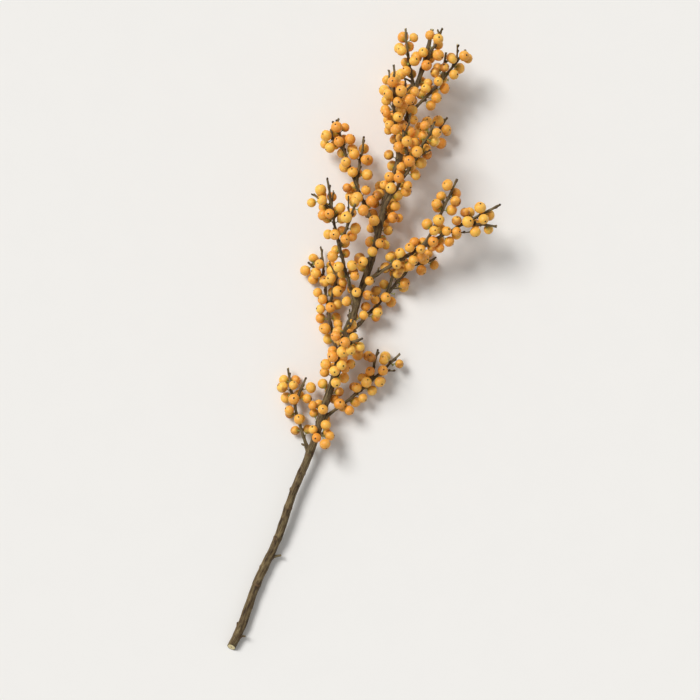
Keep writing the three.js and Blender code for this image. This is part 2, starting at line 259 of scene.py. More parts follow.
# The rim as a share of the wood's radius, at the bottom and at a tip.
CUT_TO_RIM = (0.96, 1.03)
CUT_ENDS = (0.6, 0.11)
BUD_SIDES = 6
BUD_ALONG = (-0.5, 0.1, 0.7, 1.15)
BUD_RADIUS = (0.75, 0.95, 0.85, 0.5)
BUD_ENDS = (-0.7, 1.4)
BUD_PAST_NODE = 0.6
BUD_SEAT = 0.95
BUD_BELOW_TIP = 1
TIP_BUD_SIZE = 1.4
FIRST_BUD = 5.0
BERRY_GRID = 4
BERRY_LENGTH = (0.9, 1.0)
LENGTH_PICK = 131.7
BERRY_CHANCES = 6
BERRY_WAVES = ((2, 1.0), (3, 0.7))
BERRY_LUMPS = 0.014
POLE = 0.99
STALK_DIMPLE = 0.93
EYE_DIMPLE = 0.955
TONE_POWER = 1.4
BRUISED = 0.09
BRUISE = 0.7
EYE_SIDES = 8
EYE_SIZE = (0.8, 0.4)
EYE_PICK = 7.3
EYE_RAGGED = 0.16
EYE_ALONG = (-0.3, 0.06, 0.3)
EYE_RADIUS = (0.9, 1.0, 0.62)
EYE_ENDS = (-0.4, 0.22)
STALK_SIDES = 10
STALK_T = (0.0, 0.45, 0.92)
STALK_ALONG = (*STALK_T, 0.9, 1.0, 1.0)
STALK_SHARES = (1.5, 0.95, 1.0, 1.7)
STALK_INSIDE = 0.5
STALK_BEND = 0.5
STALK_CLOSES = 0.1
STALK_DRIES = 0.5
CALYX_SWELL = 0.2
CALYX_NOTCH = 0.55
CALYX_LIES = 0.8
CALYX_DEPTHS = (0.02, 0.35, 0.6)
CALYX_NARROWS = 0.75

# The stage, in metres.
FLOOR_HALF = 12.0
KEY_FROM = (-0.9, 0.9, 1.5)
CAMERA_AIM = (0.0, 0.0)
HORIZON_TO = 0.3
UP = np.array([0.0, 0.0, 1.0])


def unit(vectors):
    """The vectors at length one."""
    return vectors / np.linalg.norm(vectors, axis=-1, keepdims=True)


def smoothstep(x, low, high):
    """0 up to low, 1 from high, and a smooth cubic between them."""
    t = np.clip((x - low) / (high - low), 0.0, 1.0)
    return t * t * (3.0 - 2.0 * t)


def bell(x, width):
    """1 at zero, falling smoothly to nothing over a few widths."""
    return np.exp(-(x / width) ** 2)


def draws(seed):
    """Numbers from a state that is multiplied by 16807 modulo a prime each time, so that a seed
    always grows the same branch."""
    modulus = 2147483647
    state = (seed * 7919 + 104729) % modulus

    def draw(low, high):
        nonlocal state
        state = (state * 16807) % modulus
        return low + (high - low) * (state / modulus)

    return draw


def several(draw, spans):
    """One draw from each span, in order."""
    return [draw(*span) for span in spans.values()]


class Axis:
    """A length of wood: its points and radii at distances along it, and where it leaves its bearer."""

    def __init__(self, length, point, radius, bearer=None, foot=0.0, around=0.0, lean=0.0):
        self.length = length
        self.point = point
        self.radius = radius
        self.bearer = bearer
        self.foot = foot
        self.around = around
        self.lean = lean

    def frame(self, s):
        """The directions ahead, to the right and to the upper side at distances s."""
        s = np.asarray(s, float)
        ahead = unit(self.point(s + FRAME_REACH) - self.point(s - FRAME_REACH))
        right = unit(np.cross(ahead, UP))
        return ahead, right, np.cross(right, ahead)

    def outward(self, s, around_deg):
        """The direction square to the wood, turned by around_deg from its right side over its top."""
        _, right, upper = self.frame(s)
        turn = np.radians(around_deg)
        return right * np.cos(turn) + upper * np.sin(turn)


def main_stem():
    """A gentle S along +Y with small kinks, rising by a power of its length."""
    def point(s):
        s = np.asarray(s, float)
        t = s / STEM_LENGTH
        sway = np.sin(STEM_SWAY_TURN * t + STEM_SWAY_START) - math.sin(STEM_SWAY_START)
        rise = np.maximum(t, 0.0) ** STEM_RISE_POWER
        x = STEM_SWAY * sway + STEM_KINKS * np.sin(STEM_KINK_TURN * t)
        z = STEM_BASE_RADIUS + STEM_RISE * rise + STEM_DIPS * np.sin(STEM_DIP_TURN * t)
        return np.stack([x, s, z], -1)

    def radius(s):
        left = np.maximum(1.0 - np.asarray(s, float) / STEM_LENGTH, 0.0)
        return STEM_TIP_RADIUS + (STEM_BASE_RADIUS - STEM_TIP_RADIUS) * left ** STEM_TAPER_POWER

    return Axis(STEM_LENGTH, point, radius)


def side_shoot(row, bearer):
    """An arc in the plane of the bearer's direction and the shoot's own outward side, with a zigzag
    across that plane that bends at the buds, lifted smoothly where it would sink to the table."""
    foot = row["at"] * bearer.length
    ahead = bearer.frame(foot)[0]
    out = bearer.outward(foot, row["around"])
    across_plane = np.cross(ahead, out)
    origin = bearer.point(foot)
    length = row["length"]
    start = math.radians(row["lean"])
    curl = math.radians(row["bow"] or NEARLY_STRAIGHT_DEG) / length
    base_radius = SHOOT_BASE_RADIUS + SHOOT_RADIUS_PER_LENGTH * length

    def point(s):
        s = np.asarray(s, float)[..., None]
        angle = start + curl * s
        along = (np.sin(angle) - math.sin(start)) / curl
        away = (math.cos(start) - np.cos(angle)) / curl
        beat = math.pi * (s - SHOOT_BUDS["first"] * length) / SHOOT_BUDS["gap"]
        zigzag = ZIGZAG * (np.arcsin(np.cos(beat)) * 2 / math.pi) * np.minimum(s / ZIGZAG_BUILDS_UP, 1)
        places = origin + ahead * along + out * away + across_plane * zigzag
        above = places[..., 2] - LYING_HEIGHT
        lift = (np.sqrt(above * above + LYING_SOFTNESS ** 2) - above) / 2
        places[..., 2] += lift * smoothstep(s[..., 0], 0, LIFT_LENGTH)
        return places

    def radius(s):
        share = np.clip(np.asarray(s, float) / length, 0.0, 1.0)
        return base_radius + (SHOOT_TIP_RADIUS - base_radius) * share

    return Axis(length, point, radius, bearer, foot, row["around"], start)


def stub(bearer, s, around, lean_deg, length, thickness):
    """A dead spur: a straight length out of the bearer's middle that thins a little to its end."""
    origin = bearer.point(s)
    lean = math.radians(lean_deg)
    direction = bearer.frame(s)[0] * math.cos(lean) + bearer.outward(s, around) * math.sin(lean)

    def point(d):
        return origin + direction * np.asarray(d, float)[..., None]

    def radius(d):
        return thickness * (1 - STUB_TAPER * np.asarray(d, float) / length)

    return Axis(length, point, radius, bearer, s, around, lean)


def bare_twig(bearer, s, around, lean_deg, length, thickness, kink, bend):
    """A thin bare twig: straight out of its bearer's middle, then turned a little to one side past
    its kink, round a corner that is smooth over a millimetre."""
    straight = stub(bearer, s, around, lean_deg, length, thickness)
    side = across(straight.point(1.0) - straight.point(0.0))[0]

    def point(d):
        past = np.asarray(d, float)[..., None] - kink * length
        return straight.point(d) + side * bend * (np.sqrt(past * past + 1) + past) / 2

    def radius(d):
        return thickness * (1 - BARE_TWIG_TAPER * np.asarray(d, float) / length)

    return Axis(length, point, radius, bearer, s, around, straight.lean)


class Room:
    """What is already in place, as spheres that a new berry keeps clear of."""

    def __init__(self):
        self.points = np.empty((0, 3))
        self.radii = np.empty(0)
        self.berries = np.empty(0, bool)

    def fill(self, points, radii, berries):
        self.points = np.vstack([self.points, points])
        self.radii = np.append(self.radii, radii)
        self.berries = np.append(self.berries, berries)

    def is_free(self, point, radius):
        """Whether a ball has room."""
        return bool(np.all(np.linalg.norm(self.points - point, axis=1) - self.radii >= radius))

    def misses_berries(self, start, end, radius):
        """Whether a rod from start to end passes every berry."""
        places = start + (end - start) * ROD_CHECKS
        gaps = np.linalg.norm(self.points[self.berries] - places, axis=-1) - self.radii[self.berries]
        return bool(np.all(gaps >= radius))

    def has(self, berry, clearance):
        """Whether the berry is clear of everything, and the middle of its stalk of every berry."""
        stalk_gap = np.linalg.norm(self.points - berry["halfway"], axis=1) - self.radii
        return (self.is_free(berry["centre"], berry["radius"] + clearance)
                and np.all(stalk_gap[self.berries] >= STALK_RADIUS))


def is_in_box(points, radius):
    """Whether balls of the radius at the points lie inside the box of the solids."""
    low, high = [np.array(corner) / MM - CUT_END for corner in CAD_BOX]
    return bool(np.all(points - radius >= low) and np.all(points + radius <= high))


def berry_at(axis, s, around, spread_deg, stalk, radius):
    """A berry at the end of its stalk, moved up where it would reach through the table."""
    out = axis.outward(s, around)
    ahead = axis.frame(s)[0]
    root = axis.point(s) + out * axis.radius(s)
    spread = math.radians(spread_deg)
    centre = root + (ahead * math.cos(spread) + out * math.sin(spread)) * (stalk + radius)
    centre[2] = max(centre[2], radius)
    reach = np.linalg.norm(centre - root)
    direction = (centre - root) / reach
    stalk = reach - radius
    return dict(root=root, centre=centre, direction=direction, out=out, radius=radius, stalk=stalk,
                inside=float(axis.radius(s)), halfway=root + direction * stalk / 2)


def place_berry(room, axis, s, around, spread, stalk, radius, clearance=BERRY_CLEARANCE, boxed=False):
    """The first try that has room: turned round its shoot, then on a longer stalk."""
    for longer in TRY_LONGER:
        for turn in TRY_TURNS_DEG:
            berry = berry_at(axis, s, around + turn, spread, stalk + longer, radius)
            if boxed and not is_in_box(berry["centre"], radius):
                continue
            if berry["stalk"] >= SHORTEST_STALK and room.has(berry, clearance):
                room.fill(berry["centre"], radius, True)
                room.fill(berry["halfway"], STALK_RADIUS, False)
                return [berry]
    return []


def bud_places(axis, draw):
    """Distances of the buds: even steps by the rule of their kind of wood, each shifted by a draw."""
    rule = STEM_BUDS if axis.bearer is None else SPUR_BUDS if axis.length < SPUR_LENGTH else SHOOT_BUDS
    places = []
    s = rule["first"] * axis.length
    while s <= rule["last"] * axis.length:
        places.append(s + rule["gap"] * draw(-BUD_GAP_JITTER, BUD_GAP_JITTER))
        s += rule["gap"]
    return places


def grow_berries(room, axis, buds, draw):
    """One to three berries at each bud, buds turned by the golden angle. Returns each bud's turn too."""
    berries = []
    turns = []
    first_turn = draw(0, 360)
    for index, s in enumerate(buds):
        luck = draw(0, 1)
        count = 1 + (luck < TWO_BERRIES) + (luck < THREE_BERRIES)
        turns.append(first_turn + GOLDEN_ANGLE_DEG * index)
        for k in range(count):
            around = (turns[-1] + CLUSTER_SPREAD_DEG * (k - (count - 1) / 2)
                      + draw(-CLUSTER_JITTER_DEG, CLUSTER_JITTER_DEG))
            berries += place_berry(room, axis, s, around, *several(draw, BERRY_DRAWS))
    return berries, turns


def grow_late_berries(room, axis, buds, draw):
    """Berries that fill an axis up, at its buds and halfway between them, and the nodes halfway."""
    berries = []
    nodes = []
    first_turn = draw(0, 360)
    halfway = [(s + after) / 2 for s, after in zip(buds, buds[1:])]
    places = [(s, LATE_AT_BUD) for s in buds] + [(s, LATE_BETWEEN) for s in halfway]
    for index, (s, share) in enumerate(places):
        around = first_turn + GOLDEN_ANGLE_DEG * index
        if share == LATE_BETWEEN:
            nodes.append((s, around))
        for chance in (share, share * LATE_SECOND):
            luck, turn, *rest = several(draw, LATE_DRAWS)
            if luck < chance:
                berries += place_berry(room, axis, s, around + turn, *rest, LATE_CLEARANCE, True)
    return berries, nodes


def bare_nodes(axis, buds, draw):
    """Nodes without berries: those of old wood below the first bud and of the tip past the last."""
    first_turn = draw(0, 360)
    first, gap = (OLD_NODE_FIRST, OLD_NODE_GAP) if axis.bearer is None else (NODE_FIRST, SHOOT_BUDS["gap"])
    below = np.arange(first, buds[0] - NODES_END_BELOW * gap, gap)
    past = np.arange(buds[-1] + SHOOT_BUDS["gap"] * NODES_GO_ON, axis.length - NODES_END_AT_TIP,
                     SHOOT_BUDS["gap"] * NODES_GO_ON_GAP)
    return [(s + draw(-NODE_JITTER, NODE_JITTER) * gap, first_turn + GOLDEN_ANGLE_DEG * i)
            for i, s in enumerate(np.concatenate([below, past]))]


def grow_stubs(room, axis, nodes, share, draw):
    """Dead spurs at a share of the nodes, where there is room for them."""
    stubs = []
    for s, around in nodes:
        luck, lean, length, thickness = several(draw, STUB_DRAWS)
        spur = stub(axis, s, around, lean, length + float(axis.radius(s)), thickness)
        end = spur.point(spur.length)
        clear = (end[2] > thickness and room.is_free(end, thickness + STUB_ROOM)
                 and room.misses_berries(axis.point(s), end, thickness + STUB_CLEARANCE))
        if luck < share and s < axis.length - STUB_BELOW_TIP and clear:
            stubs.append(spur)
    return stubs


def grow_bare_twig(room, axis, nodes, draw):
    """The first bare twig that finds room at the nodes in the outer part of an axis, with its nodes."""
    low, high = np.array(BARE_TWIG_AT) * axis.length
    for s, around in nodes:
        luck, turn, lean, length, thickness, kink, bend = several(draw, TWIG_DRAWS)
        twig = bare_twig(axis, s, around + turn, lean, length, thickness, kink, bend)
        places = twig.point(length * BARE_TWIG_CHECKS)
        thick = thickness + BARE_TWIG_CLEARANCE
        if (luck < BARE_TWIG_SHARE and low < s < high and is_in_box(places, thickness)
                and all(room.is_free(place, thick) for place in places)
                and room.misses_berries(axis.point(s), places[0], thick)):
            room.fill(places, np.full(len(places), thickness), np.zeros(len(places), bool))
            nodes = [(share * length, draw(0, 360)) for share in (kink, kink + BARE_TWIG_LAST_NODE)]
            return [dict(axis=twig, berries=[], late=[], stubs=[], empty=[], nodes=nodes)]
    return []


def grow_prong(room, axis, draw):
    """A short prong beside the tip of some axes, where there is room for it."""
    luck, around, lean, length = several(draw, PRONG_DRAWS)
    s = axis.length - PRONG_BELOW_TIP
    prong = stub(axis, s, around, lean, length, PRONG_THICKNESS * float(axis.radius(s)))
    end = prong.point(length)
    clear = is_in_box(end, PRONG_REACH) and room.misses_berries(axis.point(s), end, PRONG_ROOM)
    return [prong] if luck < PRONG_SHARE and clear else []


def grow_empty_stalks(room, axis, nodes, draw):
    """Fruit stalks that have lost their berry, at a few of the nodes that bear fruit."""
    stalks = []
    for s, around in nodes:
        luck, turn, spread, stalk = several(draw, EMPTY_DRAWS)
        berry = berry_at(axis, s, around + turn, spread, stalk, EMPTY_HUG)
        end = berry["root"] + berry["direction"] * berry["stalk"]
        if (luck < EMPTY_SHARE and end[2] > EMPTY_HEIGHT and room.is_free(end, EMPTY_ROOM)
                and room.misses_berries(berry["root"], end, EMPTY_CLEARANCE)):
            stalks.append(berry)
    return stalks


@lru_cache(maxsize=None)
def branch():
    """Every axis with its berries and nodes, grown once: a list of dicts."""
    stem = main_stem()
    shoots = [side_shoot(row, stem) for row in SHOOTS]
    bearers = [stem, *shoots]
    twigs = [side_shoot(row, bearers[row["bearer"]]) for row in TWIGS]
    room = Room()
    for axis in [*bearers, *twigs]:
        s = np.arange(0, axis.length + 1e-9, OBSTACLE_STEP)
        room.fill(axis.point(s), axis.radius(s) * NODE_SWELLING, np.zeros(len(s), bool))
    owners = [*range(1, len(shoots) + 1), *[row["bearer"] for row in TWIGS], 0]
    grown = []
    for index, axis in enumerate([*shoots, *twigs, stem]):
        draw = draws(SEED + index)
        buds = bud_places(axis, draw)
        berries, turns = grow_berries(room, axis, buds, draw)
        grown.append(dict(axis=axis, owner=owners[index], buds=buds, berries=berries,
                          nodes=list(zip(buds, turns))))
    for index, growth in enumerate(grown):
        growth["late"], nodes = grow_late_berries(room, growth["axis"], growth["buds"],
                                                  draws(LATE_SEED + index))
        growth["nodes"] += nodes
    bare_twigs = []
    for index, growth in enumerate(grown):
        if growth["axis"].length > SPUR_LENGTH:
            found = grow_bare_twig(room, growth["axis"], growth["nodes"], draws(TWIG_SEED + index))
            bare_twigs += [dict(twig, owner=growth["owner"]) for twig in found]
    for index, growth in enumerate(grown):
        draw = draws(FINISH_SEED + index)
        axis = growth["axis"]
        bare = bare_nodes(axis, growth["buds"], draw)
        growth["stubs"] = (grow_stubs(room, axis, bare, STUB_SHARE, draw)
                           + grow_stubs(room, axis, growth["nodes"], STUB_AT_FRUIT, draw))
        growth["empty"] = grow_empty_stalks(room, axis, growth["nodes"], draw)
        growth["nodes"] += bare
        growth["stubs"] += grow_prong(room, axis, draw)
    return grown + bare_twigs


def by_solid():
    """Each solid's number and name, the main stem's first, with its growths and their places in
    branch()."""
    for owner in range(len(SHOOTS) + 1):
        name = f"side_shoot_{owner:02d}" if owner else "main_stem"
        yield owner, name, [(i, growth) for i, growth in enumerate(branch()) if growth["owner"] == owner]


def tip_of(axis, draw):
    """How an axis ends: most are pruned across with a slight slant, and some keep their own tip."""
    cut = axis.bearer is None or draw(0, 1) < PRUNED
    return dict(cut=cut, slant=math.radians(draw(*TIP_SLANT_DEG)) if cut else 0.0, turn=draw(0, TURN),
                fresh=draw(*TIP_FRESH))


@lru_cache(maxsize=None)
def tips():
    """The end of every axis, in the order of branch()."""
    return [tip_of(growth["axis"], draws(TIP_SEED + i)) for i, growth in enumerate(branch())]


class Shells:
    """Closed shells gathered for one mesh, in millimetres from the cut end, with values at points."""

    def __init__(self):
        self.points = []
        self.corners = []
        self.sizes = []
        self.values = {}
        self.count = 0

    def add(self, points, columns, **values):
        """Adds shells of rings. points is (shells, rings * columns + 2, 3), with the two poles last.

        Quads join neighbouring rings, and triangles join the first and the last ring to the poles.
        """
        length = points.shape[1]
        ring, column = np.divmod(np.arange(length - 2 - columns), columns)
        beside = ring * columns + (column + 1) % columns
        here = ring * columns + column
        quads = np.stack([here, here + columns, beside + columns, beside], -1)
        first = np.arange(columns)
        following = (first + 1) % columns
        last = length - 2 - columns
        starts = np.stack([np.full(columns, length - 2), first, following], -1)
        ends = np.stack([np.full(columns, length - 1), last + following, last + first], -1)
        self.join(points, (quads, np.vstack([starts, ends])), values)

    def join(self, points, kinds, values):
        """Adds shells alike, with the same faces in each. Each of kinds is an array of faces with as
        many corners. Each value is (shells, points) or, for a vector, (shells, points, 3)."""
        shells, length = points.shape[:2]
        offsets = self.count + np.arange(shells)[:, None, None] * length
        for faces in kinds:
            self.corners.append((faces + offsets).ravel())
            self.sizes.append(np.full(shells * len(faces), faces.shape[1]))
        self.points.append(points.reshape(-1, 3))
        for name, value in values.items():
            self.values.setdefault(name, []).append(value.reshape(shells * length, -1))
        self.count += shells * length

    def build(self, name, material, slot, *nodes):
        """Makes the object, which rides on the branch and replaces the named nodes.
        Its points are held over the table and inside the box of the solids. The slot is not used."""
        mesh = bpy.data.meshes.new(name)
        points = np.clip((np.concatenate(self.points) + CUT_END) * MM, *CAD_BOX)
        points[:, 2] = np.maximum(points[:, 2], TABLE_GAP * MM)
        mesh.vertices.add(len(points))
        mesh.vertices.foreach_set("co", points.ravel())
        corners = np.concatenate(self.corners)
        sizes = np.concatenate(self.sizes)
        mesh.loops.add(len(corners))
        mesh.loops.foreach_set("vertex_index", corners)
        mesh.polygons.add(len(sizes))
        mesh.polygons.foreach_set("loop_start", np.cumsum(sizes) - sizes)
        mesh.update(calc_edges=True)
        for label, parts in self.values.items():
            value = np.concatenate(parts)
            kind, key = ("FLOAT_VECTOR", "vector") if value.shape[1] == 3 else ("FLOAT", "value")
            attribute = mesh.attributes.new(label, kind, "POINT")
            attribute.data.foreach_set(key, value.astype(np.float32).ravel())
        if mesh.validate():
            raise RuntimeError(f"{name} has faces that Blender had to mend")
        mesh.shade_smooth()
        mesh.materials.append(material)
        piece = bpy.data.objects.new(name, mesh)
        bpy.context.scene.collection.objects.link(piece)
        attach(piece, BODY)
        if nodes:
            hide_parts(*nodes)


def rounds(centres, right, upper, radius, start, end):
    """Shells from rings: at each ring's centre, right times the cosine and upper times the sine of
    the turn, both times the radius. centres is (shells, rings, 3) and radius (shells, rings,
    columns); start and end are the poles."""
    shells, _, columns = radius.shape
    turn = TURN * np.arange(columns) / columns
    side = (right[..., None, :] * np.cos(turn)[:, None] + upper[..., None, :] * np.sin(turn)[:, None])
    points = centres[..., None, :] + radius[..., None] * side
    return np.concatenate([points.reshape(shells, -1, 3), start[:, None], end[:, None]], 1)


def across(directions):
    """Two directions square to each given one, on its right and above it."""
    least = np.eye(3)[np.argmin(np.abs(directions), axis=-1)]
    right = unit(np.cross(directions, least))
    return right, np.cross(right, directions)


def knobs(name, material, slot, origin, direction, along, radius, ends):
    """Makes one piece of small closed knobs: rings of the given radii round each direction, at
    places along it from the origin. along is (knobs or 1, rings), radius (knobs, rings, sides),
    and ends the places of the two poles."""
    right, upper = across(direction)
    centres = origin[:, None] + direction[:, None] * along[..., None]
    poles = [origin + direction * np.reshape(end, (-1, 1)) for end in ends]
    shells = Shells()
    shells.add(rounds(centres, right[:, None], upper[:, None], radius, *poles), radius.shape[2])
    shells.build(name, material, slot)


def from_side(turn, around_deg, width):
    """A bell of the turn round the wood, 1 on the side that faces around_deg."""
    return bell((turn - math.radians(around_deg) + math.pi) % TURN - math.pi, width)


def ring_places(start, end, step, nodes):
    """Ring distances: even steps, and more of them across each node's ledge, none too close."""
    even = np.arange(start + step, end, step)
    near = np.add.outer(np.array([s for s, _ in nodes]), LEDGE_RINGS).ravel()
    inside = np.sort(np.concatenate([even, near[(near > start) & (near < end)]]))
    kept = [start]
    for s in inside:
        if s - kept[-1] > CLOSEST_RINGS and end - s > CLOSEST_RINGS:
            kept.append(s)
    return np.array([*kept, end])


def relief(s, turn, nodes, shoots, bearer_radius):
    """What raises the wood, each from 0 to about 1: the swelling at each ring, and the ledge and the
    bulge at each point.

    Every node swells the wood by a bell along it. On the bud's side a ledge rises towards the
    bud and falls steeply past it: the leaf scar. Under a shoot the wood bulges to meet it.
    """
    swell = np.zeros(len(s))
    ledge = np.zeros((len(s), len(turn)))
    for place, around in nodes:
        own = NODE_SIZE[0] + NODE_SIZE[1] * math.sin(math.radians(around))
        swell = np.maximum(swell, own * bell(s - place, SWELL_WIDTH * (NODE_WIDTH[0] + NODE_WIDTH[1] * own)))
        rise = smoothstep(s - place, *LEDGE_RISE) * (1 - smoothstep(s - place, *LEDGE_FALL))
        ledge = np.maximum(ledge, rise[:, None] * from_side(turn, around, LEDGE_SIDE))
    bulge = np.zeros_like(ledge)
    for shoot in shoots:
        leaves = shoot.foot + float(bearer_radius(shoot.foot)) / math.tan(shoot.lean)
        along = bell(s - leaves + BULGE_BACK, BULGE_LENGTH)
        bulge = np.maximum(bulge, along[:, None] * from_side(turn, shoot.around, BULGE_SIDE))
    return swell, ledge, bulge


def age_of(radius):
    """How old wood of a radius looks: 0 at the thinnest tips and 1 at the stem's cut end."""
    return np.clip((radius - SHOOT_TIP_RADIUS) / (STEM_BASE_RADIUS - SHOOT_TIP_RADIUS), 0, 1)


def wood(shells, axis, nodes, shoots, sides, step, draw, tip):
    """Adds the bark of one axis as a tube of rings.

    The radius is the axis's own, times low ridges along the wood (sines of the turn with a slow
    drift along it), plus swellings, ledges and bulges. At its foot it starts thin inside its
    bearer, flares where it leaves it and settles by an exponential, and its heel, the side away
    from the crotch, is drawn back along the bearer as a collar. The tip is cut or rounded.
    """
    own_radius = float(axis.radius(0))
    grafted = axis.bearer is not None
    s = ring_places(0.0, axis.length - TIP_RINGS[0], step, nodes)
    s = np.concatenate([s, axis.length - TIP_RINGS[1:]])
    turn = TURN * np.arange(sides) / sides
    radius = axis.radius(s)[:, None] * np.ones(sides)
    for lobes, depth, drift in RIDGES:
        radius *= 1 + depth * np.sin(lobes * turn + drift * s[:, None] + draw(0, TURN))
    swell, ledge, bulge = relief(s, turn, nodes, shoots, axis.radius)
    age = age_of(axis.radius(s))
    radius *= 1 + (SWELL * (1 - OLD_SMOOTHS * age) * swell)[:, None]
    fade = 1.0
    if grafted:
        bearer_radius = float(axis.bearer.radius(axis.foot))
        lean = max(axis.lean, SMALLEST_LEAN)
        leaves = bearer_radius / math.sin(lean)
        aside = own_radius / math.tan(lean)
        heel_leaves = max(leaves - aside, HEEL_EARLIEST * leaves)
        past_heel = np.maximum(s - heel_leaves, 0)
        past_crotch = np.maximum(s - leaves - aside, 0)
        thin = min(1.0, FOOT_IN_BEARER * bearer_radius / own_radius)
        ramp = smoothstep(s, 0, heel_leaves)
        flare = 1 + FOOT_FLARE * np.exp(-past_heel / FOOT_SETTLES)
        radius *= (thin + (flare - thin) * ramp)[:, None]
        fade = smoothstep(s, 0, RELIEF_STARTS)[:, None]
    radius += (LEDGE_HEIGHT * ledge + BULGE_HEIGHT * bulge) * fade
    ends = np.ones(len(s))
    ends[-len(TIP_RINGS):] = TIP_CUT if tip["cut"] else TIP_ROUND
    radius *= ends[:, None]
    slant = math.tan(tip["slant"]) * np.cos(turn - tip["turn"])
    along = radius * (slant * smoothstep(s, s[-1] - TIP_SLANT_LENGTH, s[-1])[:, None])
    if not grafted:
        rise = math.tan(CUT_SLANT) * (STEM_BASE_RADIUS + radius * np.sin(turn))
        along = along + rise * (1 - smoothstep(s, 0, CUT_FADES))[:, None]
    ahead, right, upper = axis.frame(s)
    points = rounds(axis.point(s)[None], right[None], upper[None], radius[None],
                    axis.point(0.0)[None], axis.point(s[-1])[None])
    points[0, :-2] += (ahead[:, None] * along[..., None]).reshape(-1, 3)
    if grafted:
        onward = axis.bearer.frame(axis.foot)[0]
        inner = (right @ onward)[:, None] * np.cos(turn) + (upper @ onward)[:, None] * np.sin(turn)
        inner /= math.sin(lean)
        heel = (ramp * np.exp(-past_heel / HEEL_SETTLES))[:, None] * np.clip(-inner, 0, 1) ** 2
        points[0, :-2] -= (onward * (HEEL * own_radius * heel)[..., None]).reshape(-1, 3)
    else:
        points[0, -2] += ahead[0] * math.tan(CUT_SLANT) * STEM_BASE_RADIUS
    offset = draw(0, 1000)
    grain = np.stack([radius * np.cos(turn), radius * np.sin(turn), s[:, None] + along + offset], -1)
    grain = np.concatenate([grain.reshape(-1, 3), [[0, 0, offset], [0, 0, s[-1] + offset]]]) * MM
    # The node value darkens the bark: darker rings at the nodes, strongest on the leaf scar's side and
    # fainter on old wood, and painted shade in the crotch on the inner side of each shoot's foot.
    node_ring_and_crotch_shade = swell[:, None] * (1 - OLD_NODE_RINGS_FADE * age[:, None]) * (NODE_RING_DARKNESS[0] + NODE_RING_DARKNESS[1] * ledge)
    if grafted:
        # Painted shade in the crotch between a shoot and its bearer, fading along the shoot.
        shade = np.exp(-past_crotch / CROTCH_SHADE)[:, None] * smoothstep(inner, *CROTCH_SIDE)
        node_ring_and_crotch_shade = np.maximum(node_ring_and_crotch_shade, shade)
        age = np.maximum(age, age_of(bearer_radius) * np.exp(-past_heel / FOOT_AGE_FADES))
    age = np.append(np.repeat(age, sides), age[[0, -1]])
    scar, node = [np.append(value.ravel(), [0.0, 0.0]) for value in (ledge, node_ring_and_crotch_shade)]
    shells.add(points, sides, grain=grain[None], age=age[None], scar=scar[None], node=node[None])


def cut_face(shells, axis, s, facing, slant, slant_turn, fresh):
    """Adds a flat end as a thin disc: its rim just inside the bark, a small bevel, and a crowned
    middle. Every point moves along the axis by its place towards the slant's turn times the
    slant's tangent. Facing is 1 at a tip and -1 at the bottom."""
    ahead, right, upper = axis.frame(s)
    along, share = np.array(CUT_RINGS).T
    radius = float(axis.radius(s)) * share * CUT_TO_RIM[facing > 0]
    turn = TURN * np.arange(CUT_SIDES) / CUT_SIDES
    centre = axis.point(s)
    if facing < 0:
        centre = centre + ahead * math.tan(slant) * STEM_BASE_RADIUS
    centres = centre + ahead * facing * along[:, None]
    rings = np.repeat(radius[:, None], CUT_SIDES, 1)
    back, crown = CUT_ENDS
    points = rounds(centres[None], right[None, None], (upper * facing)[None, None], rings[None],
                    (centre - ahead * facing * back)[None], (centre + ahead * facing * crown)[None])
    tilt = math.tan(slant) * rings * np.cos(turn * facing - slant_turn)
    points[0, :-2] += (ahead * tilt[..., None]).reshape(-1, 3)
    shares = np.append(np.repeat(share / share.max(), CUT_SIDES), [0.0, 0.0])
    shells.add(points, CUT_SIDES, share=shares[None], fresh=np.full((1, len(shares)), fresh))


@lru_cache(maxsize=None)
def ball():
    """A ball of six square grids. A grid lies on a side of a cube, at the tangents of even turns,
    and each of its points is brought to length one. Points that grids share are merged. Returns
    the points and the squares' corners."""
    steps = BERRY_GRID + 1
    u, v = np.meshgrid(*[np.tan(np.linspace(-math.pi / 4, math.pi / 4, steps))] * 2, indexing="ij")
    side = [np.stack([np.full_like(u, facing), facing * u, v], -1) for facing in (1.0, -1.0)]
    grids = unit(np.stack([np.roll(grid, turn, -1) for grid in side for turn in range(3)]))
    points, merged = np.unique(grids.reshape(-1, 3).round(6), axis=0, return_inverse=True)
    merged = merged.reshape(6, steps, steps)
    squares = np.stack([merged[:, :-1, :-1], merged[:, 1:, :-1], merged[:, 1:, 1:], merged[:, :-1, 1:]], -1)
    return points, squares.reshape(-1, 4)


def all_berries(growth):
    """The berries of one axis, those of the solid first."""
    return growth["berries"] + growth["late"]


def columns_of(berries, *names):
    """The named values of several berries as arrays."""
    return [np.array([berry[name] for berry in berries]) for name in names]


def picked(radius, factor):
    """A share from 0 to 1 that a berry's radius picks by its later digits, so that a berry, its
    stalk and its remnant agree."""
    return (radius * factor) % 1.0


def length_share(radius):
    """How long each berry is for its width."""
    low, high = BERRY_LENGTH
    return low + (high - low) * picked(radius, LENGTH_PICK)


